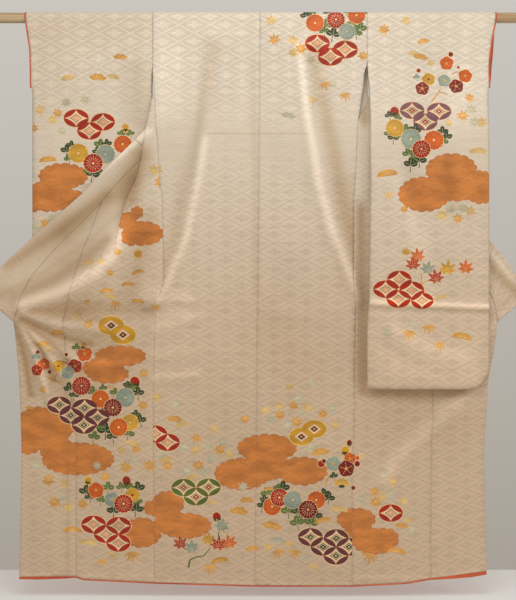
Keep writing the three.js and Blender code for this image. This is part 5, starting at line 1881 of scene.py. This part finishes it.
def on_back(points):
    """Back panel: x stays, height becomes the row."""
    return np.stack([points[:, 0], row_of(points[:, 0], points[:, 1])], -1)


def on_front(side, centre, points):
    """Front panel: the layer that is seen at the motif's middle takes the whole motif."""
    s = SIGN[side]
    z = row_of(points[:, 0], points[:, 1])
    middle = row_of(np.array([centre[0]]), np.array([centre[1]]))
    xs, _, lengths = front_section(side, z)
    a = front_section(side, middle)[0][0, 1]
    if middle[0] > FOLD_END and s * (centre[0] - a) > 0:
        q = lengths[:, 4] + s * (points[:, 0] - xs[:, 4])
    else:
        q = s * (points[:, 0] - xs[:, 0])
    return np.stack([BACK[side][0, 1] - s * q, OVER - z], -1)


def body_prints(side):
    """Dyed shapes of a body length, back and front."""
    shapes = motif_shapes(SHOULDER_DYES + LOWER_DYES + BACK_DYES)
    shapes += stitch_row(-142, 151, TUCK_HEIGHT + 1, DYES["rose"])
    prints = [(on_back(points), colour) for _, points, colour in shapes]
    for centre, points, colour in motif_shapes(LOWER_DYES):
        if abs(centre[0]) > FRONT_FROM:
            prints.append((on_front(side, centre, points), colour))
    front_top = [row for row in SHOULDER_DYES if row[0] != "branch"]
    for _, points, colour in motif_shapes(front_top):
        prints.append((far_side(points), colour))
    return prints


def okumi_prints(_):
    """Dyed shapes of an okumi, the same on both sides."""
    return [(on_back(points), colour) for _, points, colour in motif_shapes(LOWER_DYES)]


def sleeve_prints(side):
    """Dyed shapes of a sleeve: the near layer, then the far layer."""
    low = [row for row in RIGHT_SLEEVE_DYES if row[2] < COVERED_FROM]
    far = motif_shapes(RIGHT_SLEEVE_DYES, SIGN[side])
    near = far
    if side == "left":
        near = motif_shapes(LEFT_SLEEVE_DYES) + motif_shapes(low, SIGN[side])
    prints = [(points, colour) for _, points, colour in near]
    for _, points, colour in far:
        prints.append((far_side(points), colour))
    return prints


def prints_for(panel, side, outline):
    """Dyed shapes of one panel that reach into its outline, each turned leftward."""
    makers = {"body": body_prints, "okumi": okumi_prints, "sleeve": sleeve_prints}
    shapes = makers[panel](side)
    counts = np.array([len(points) for points, _ in shapes])
    starts = np.concatenate([[0], np.cumsum(counts)[:-1]])
    hits = inside(outline, np.concatenate([points for points, _ in shapes]))
    reached = np.logical_or.reduceat(hits, starts)
    return [(turn_left(points), colour)
            for (points, colour), hit in zip(shapes, reached) if hit]


# ---- settings --------------------------------------------------------------------------
class FurisodeSizes(bpy.types.PropertyGroup):
    """Sizes of the cloth's mesh and of its weave."""

    cell: bpy.props.FloatProperty(
        name="Cell", description="Distance between the cloth's mesh points, in millimetres",
        default=7.0, min=4.0, max=20.0)
    figure_width: bpy.props.FloatProperty(
        name="Figure width", description="Width of one rhombus of the weave",
        default=0.093, unit="LENGTH", subtype="DISTANCE")
    figure_height: bpy.props.FloatProperty(
        name="Figure height", description="Height of one rhombus of the weave",
        default=0.049, unit="LENGTH", subtype="DISTANCE")


class StageSizes(bpy.types.PropertyGroup):
    """Camera and floor."""

    camera_distance: bpy.props.FloatProperty(
        name="Camera distance", description="From the rod's axis to the camera, along Y",
        default=3.026, unit="LENGTH", subtype="DISTANCE")
    camera_height: bpy.props.FloatProperty(
        name="Camera height", description="Height of the camera relative to the rod",
        default=-0.826, unit="LENGTH", subtype="DISTANCE")
    floor_height: bpy.props.FloatProperty(
        name="Floor height", description="Height of the floor relative to the rod",
        default=-1.69, unit="LENGTH", subtype="DISTANCE")


def finish_cloth(obj, silk, lining, node):
    """Gives a piece its two silks, hangs it on the root and hides the part it replaces."""
    obj.data.materials.append(silk)
    obj.data.materials.append(lining)
    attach(obj, "root")
    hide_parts(node)


def shared_material(name, maker, *args):
    """A material by name, made the first time it is asked for."""
    return bpy.data.materials.get(name) or maker(name, *args)


def silks(context):
    """The outer silk and the lining silk."""
    return (shared_material("figured_silk", figured_silk, context.scene.furisode_sizes),
            shared_material("lining_silk", plain_silk))


# ---- operators -------------------------------------------------------------------------
class FURISODE_OT_body(bpy.types.Operator):
    """Build the two body lengths, each from back hem over the rod to front hem"""

    bl_idname = "furisode.body"
    bl_label = "Body lengths"

    def execute(self, context):
        cell = context.scene.furisode_sizes.cell
        silk, lining = silks(context)
        for side in ("left", "right"):
            edge = body_outline(side, cell)
            obj = cloth_object(f"body_{side}_silk", edge, body_surface(side), cell, WALL,
                               prints_for("body", side, edge), body_ground, body_lining)
            finish_cloth(obj, silk, lining, f"body_{side}")
        return {"FINISHED"}


class FURISODE_OT_okumi(bpy.types.Operator):
    """Build the two okumi, the half-width panels in front"""

    bl_idname = "furisode.okumi"
    bl_label = "Okumi"

    def execute(self, context):
        cell = context.scene.furisode_sizes.cell
        silk, lining = silks(context)
        for side in ("left", "right"):
            edge = okumi_outline(side, cell)
            obj = cloth_object(f"okumi_{side}_silk", edge, okumi_surface(side), cell, WALL,
                               prints_for("okumi", side, edge), wing_ground, okumi_lining)
            finish_cloth(obj, silk, lining, f"okumi_{side}")
        return {"FINISHED"}


class FURISODE_OT_sleeves(bpy.types.Operator):
    """Build the two long sleeves, each one length of cloth folded over the rod"""

    bl_idname = "furisode.sleeves"
    bl_label = "Sleeves"

    def execute(self, context):
        cell = context.scene.furisode_sizes.cell
        silk, lining = silks(context)
        for side in ("left", "right"):
            edge = sleeve_outline(side, cell)
            obj = cloth_object(f"sleeve_{side}_silk", edge, sleeve_surface(side), cell, WALL,
                               prints_for("sleeve", side, edge),
                               ground_with_painted_light(SLEEVE_PAINTED_LIGHT), sleeve_lining(side))
            finish_cloth(obj, silk, lining, f"sleeve_{side}")
        return {"FINISHED"}


class FURISODE_OT_collar(bpy.types.Operator):
    """Build the collar, folded double, and the overcollar on it"""

    bl_idname = "furisode.collar"
    bl_label = "Collar and overcollar"

    def execute(self, context):
        silk = silks(context)[0]
        collar = strip_object("collar_silk", collar_rows(COLLAR_PITCH), COLLAR_LAYER,
                              wing_ground, INNER_TONE)
        finish_cloth(collar, silk, silk, "collar")
        over = strip_object("overcollar_silk", overcollar_rows(COLLAR_PITCH),
                            OVERCOLLAR_LAYER, wing_ground, INNER_TONE)
        finish_cloth(over, silk, silk, "overcollar")
        return {"FINISHED"}


class FURISODE_OT_rolls(bpy.types.Operator):
    """Build the padded rolls of lining at the hem and the rolled edges of the cuffs"""

    bl_idname = "furisode.rolls"
    bl_label = "Rolled lining edges"

    def execute(self, context):
        silk = shared_material("roll_silk", roll_silk)
        for side in ("left", "right"):
            for obj, node, fill in ((hem_roll(side), f"hem_roll_{side}", 0.4),
                                    (cuff_roll(side), f"cuff_edge_{side}", 0.3)):
                obj.data.materials.append(silk)
                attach(obj, "root")
                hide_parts(node)
        return {"FINISHED"}


class FURISODE_OT_rod(bpy.types.Operator):
    """Build the turned wooden rod with softly broken ends"""

    bl_idname = "furisode.rod"
    bl_label = "Rod"

    def execute(self, context):
        profile = np.array([[0, 0], [0, 11], [0.4, 13.4], [1.6, 14.6], [3.2, ROD_RADIUS]])
        along = steps(30, 2 * ROD_HALF - 30, 60)
        body = np.stack([along, np.full(len(along), ROD_RADIUS)], -1)
        far = profile[::-1] * [-1, 1] + [2 * ROD_HALF, 0]
        line = np.concatenate([profile[1:], body, far[:-1]])
        x = line[:, 0] - ROD_HALF
        angle = np.linspace(0, 2 * math.pi, 65)[:-1]
        wear = 1 - 0.004 * (1 + np.sin(x / 210)[:, None] * np.cos(3 * angle)[None, :])
        radius = line[:, 1][:, None] * wear
        points = np.stack([np.broadcast_to(x[:, None], radius.shape),
                           radius * np.cos(angle), radius * np.sin(angle)], -1)
        obj = new_object("rod_wood", points.reshape(-1, 3), tube_faces(*radius.shape))
        obj.data.materials.append(rod_wood("rod_wood"))
        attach(obj, "root")
        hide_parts("rod")
        return {"FINISHED"}


# Lights: name, place, aim, width and height in metres, power, colour.
LIGHTS = (
    ("key", (0.0, -1.5, 0.8), (0, 0, -0.7), (1.5, 0.7), 13.5, (1, 0.965, 0.92)),
    ("side", (1.9, -1.5, 0.1), (0.1, 0, -0.9), (0.8, 1.2), 5.5, (1, 0.955, 0.89)),
)
# Floor: half its width, its near edge and its far edge, in millimetres.
FLOOR_EDGES = (4000, -3800, 283)


def area_light(name, place, aim, size, power, colour):
    """A soft light of the given width and height at place, facing aim."""
    data = bpy.data.lights.new(name, "AREA")
    data.shape = "RECTANGLE"
    data.size, data.size_y = size
    data.energy = power
    data.color = colour
    obj = bpy.data.objects.new(name, data)
    obj.location = place
    obj.rotation_mode = "QUATERNION"
    obj.rotation_quaternion = (Vector(aim) - Vector(place)).to_track_quat("-Z", "Y")
    bpy.context.scene.collection.objects.link(obj)


def studio_world(name):
    """Even pale grey surroundings, a little brighter above than below."""
    world = bpy.data.worlds.new(name)
    world.use_nodes = True
    tree = world.node_tree
    place = tree.nodes.new("ShaderNodeTexCoord")
    split = tree.nodes.new("ShaderNodeSeparateXYZ")
    tree.links.new(place.outputs["Generated"], split.inputs[0])
    spread = tree.nodes.new("ShaderNodeMapRange")
    spread.inputs["From Min"].default_value = -0.3
    spread.inputs["From Max"].default_value = 0.3
    tree.links.new(split.outputs[2], spread.inputs["Value"])
    mix = tree.nodes.new("ShaderNodeMix")
    mix.data_type = "RGBA"
    tree.links.new(spread.outputs[0], mix.inputs[0])
    mix.inputs[6].default_value = (*srgb(164, 156, 146), 1)
    mix.inputs[7].default_value = (*srgb(204, 200, 193), 1)
    tree.links.new(mix.outputs[2], tree.nodes["Background"].inputs[0])
    tree.nodes["Background"].inputs[1].default_value = 1.0
    return world


class FURISODE_OT_stage(bpy.types.Operator):
    """Lay the floor, set the soft light and the camera"""

    bl_idname = "furisode.stage"
    bl_label = "Stage"

    def execute(self, context):
        sizes = context.scene.furisode_stage
        z = sizes.floor_height * 1000
        half, front, back = FLOOR_EDGES
        floor = new_object("floor", [[-half, front, z], [half, front, z], [half, back, z],
                                     [-half, back, z]], [[0, 1, 2, 3]], 1)
        floor.data.materials.append(floor_paint("floor_paint"))
        context.scene.view_settings.view_transform = "Standard"
        context.scene.world = studio_world("studio")
        for light in LIGHTS:
            area_light(*light)
        camera = bpy.data.cameras.new("camera")
        camera.lens = 62
        camera.sensor_width = 36
        obj = bpy.data.objects.new("camera", camera)
        obj.location = (0, -sizes.camera_distance, sizes.camera_height)
        obj.rotation_euler = (math.pi / 2, 0, 0)
        context.scene.collection.objects.link(obj)
        context.scene.camera = obj
        return {"FINISHED"}


class FURISODE_PT_panel(bpy.types.Panel):
    """Sizes and steps of the furisode, in the order in which they are run"""

    bl_label = "Furisode"
    bl_idname = "FURISODE_PT_panel"
    bl_space_type = "VIEW_3D"
    bl_region_type = "UI"
    bl_category = "Furisode"

    def draw(self, context):
        for group in (context.scene.furisode_sizes, context.scene.furisode_stage):
            for name in group.bl_rna.properties.keys():
                if name not in ("rna_type", "name"):
                    self.layout.prop(group, name)
        for operator in OPERATORS:
            self.layout.operator(operator.bl_idname)


OPERATORS = (
    FURISODE_OT_body, FURISODE_OT_okumi, FURISODE_OT_sleeves, FURISODE_OT_collar,
    FURISODE_OT_rolls, FURISODE_OT_rod, FURISODE_OT_stage,
)
CLASSES = (FurisodeSizes, StageSizes, *OPERATORS, FURISODE_PT_panel)


def register():
    """Registers the settings, the steps and the panel."""
    for item in CLASSES:
        bpy.utils.register_class(item)
    bpy.types.Scene.furisode_sizes = bpy.props.PointerProperty(type=FurisodeSizes)
    bpy.types.Scene.furisode_stage = bpy.props.PointerProperty(type=StageSizes)


def unregister():
    """Takes the settings, the steps and the panel away again."""
    del bpy.types.Scene.furisode_stage
    del bpy.types.Scene.furisode_sizes
    for item in reversed(CLASSES):
        bpy.utils.unregister_class(item)


def main():
    """Registers everything and runs the steps in order."""
    register()
    bpy.ops.furisode.body()
    bpy.ops.furisode.okumi()
    bpy.ops.furisode.sleeves()
    bpy.ops.furisode.collar()
    bpy.ops.furisode.rolls()
    bpy.ops.furisode.rod()
    bpy.ops.furisode.stage()


if __name__ == "__main__":
    main()
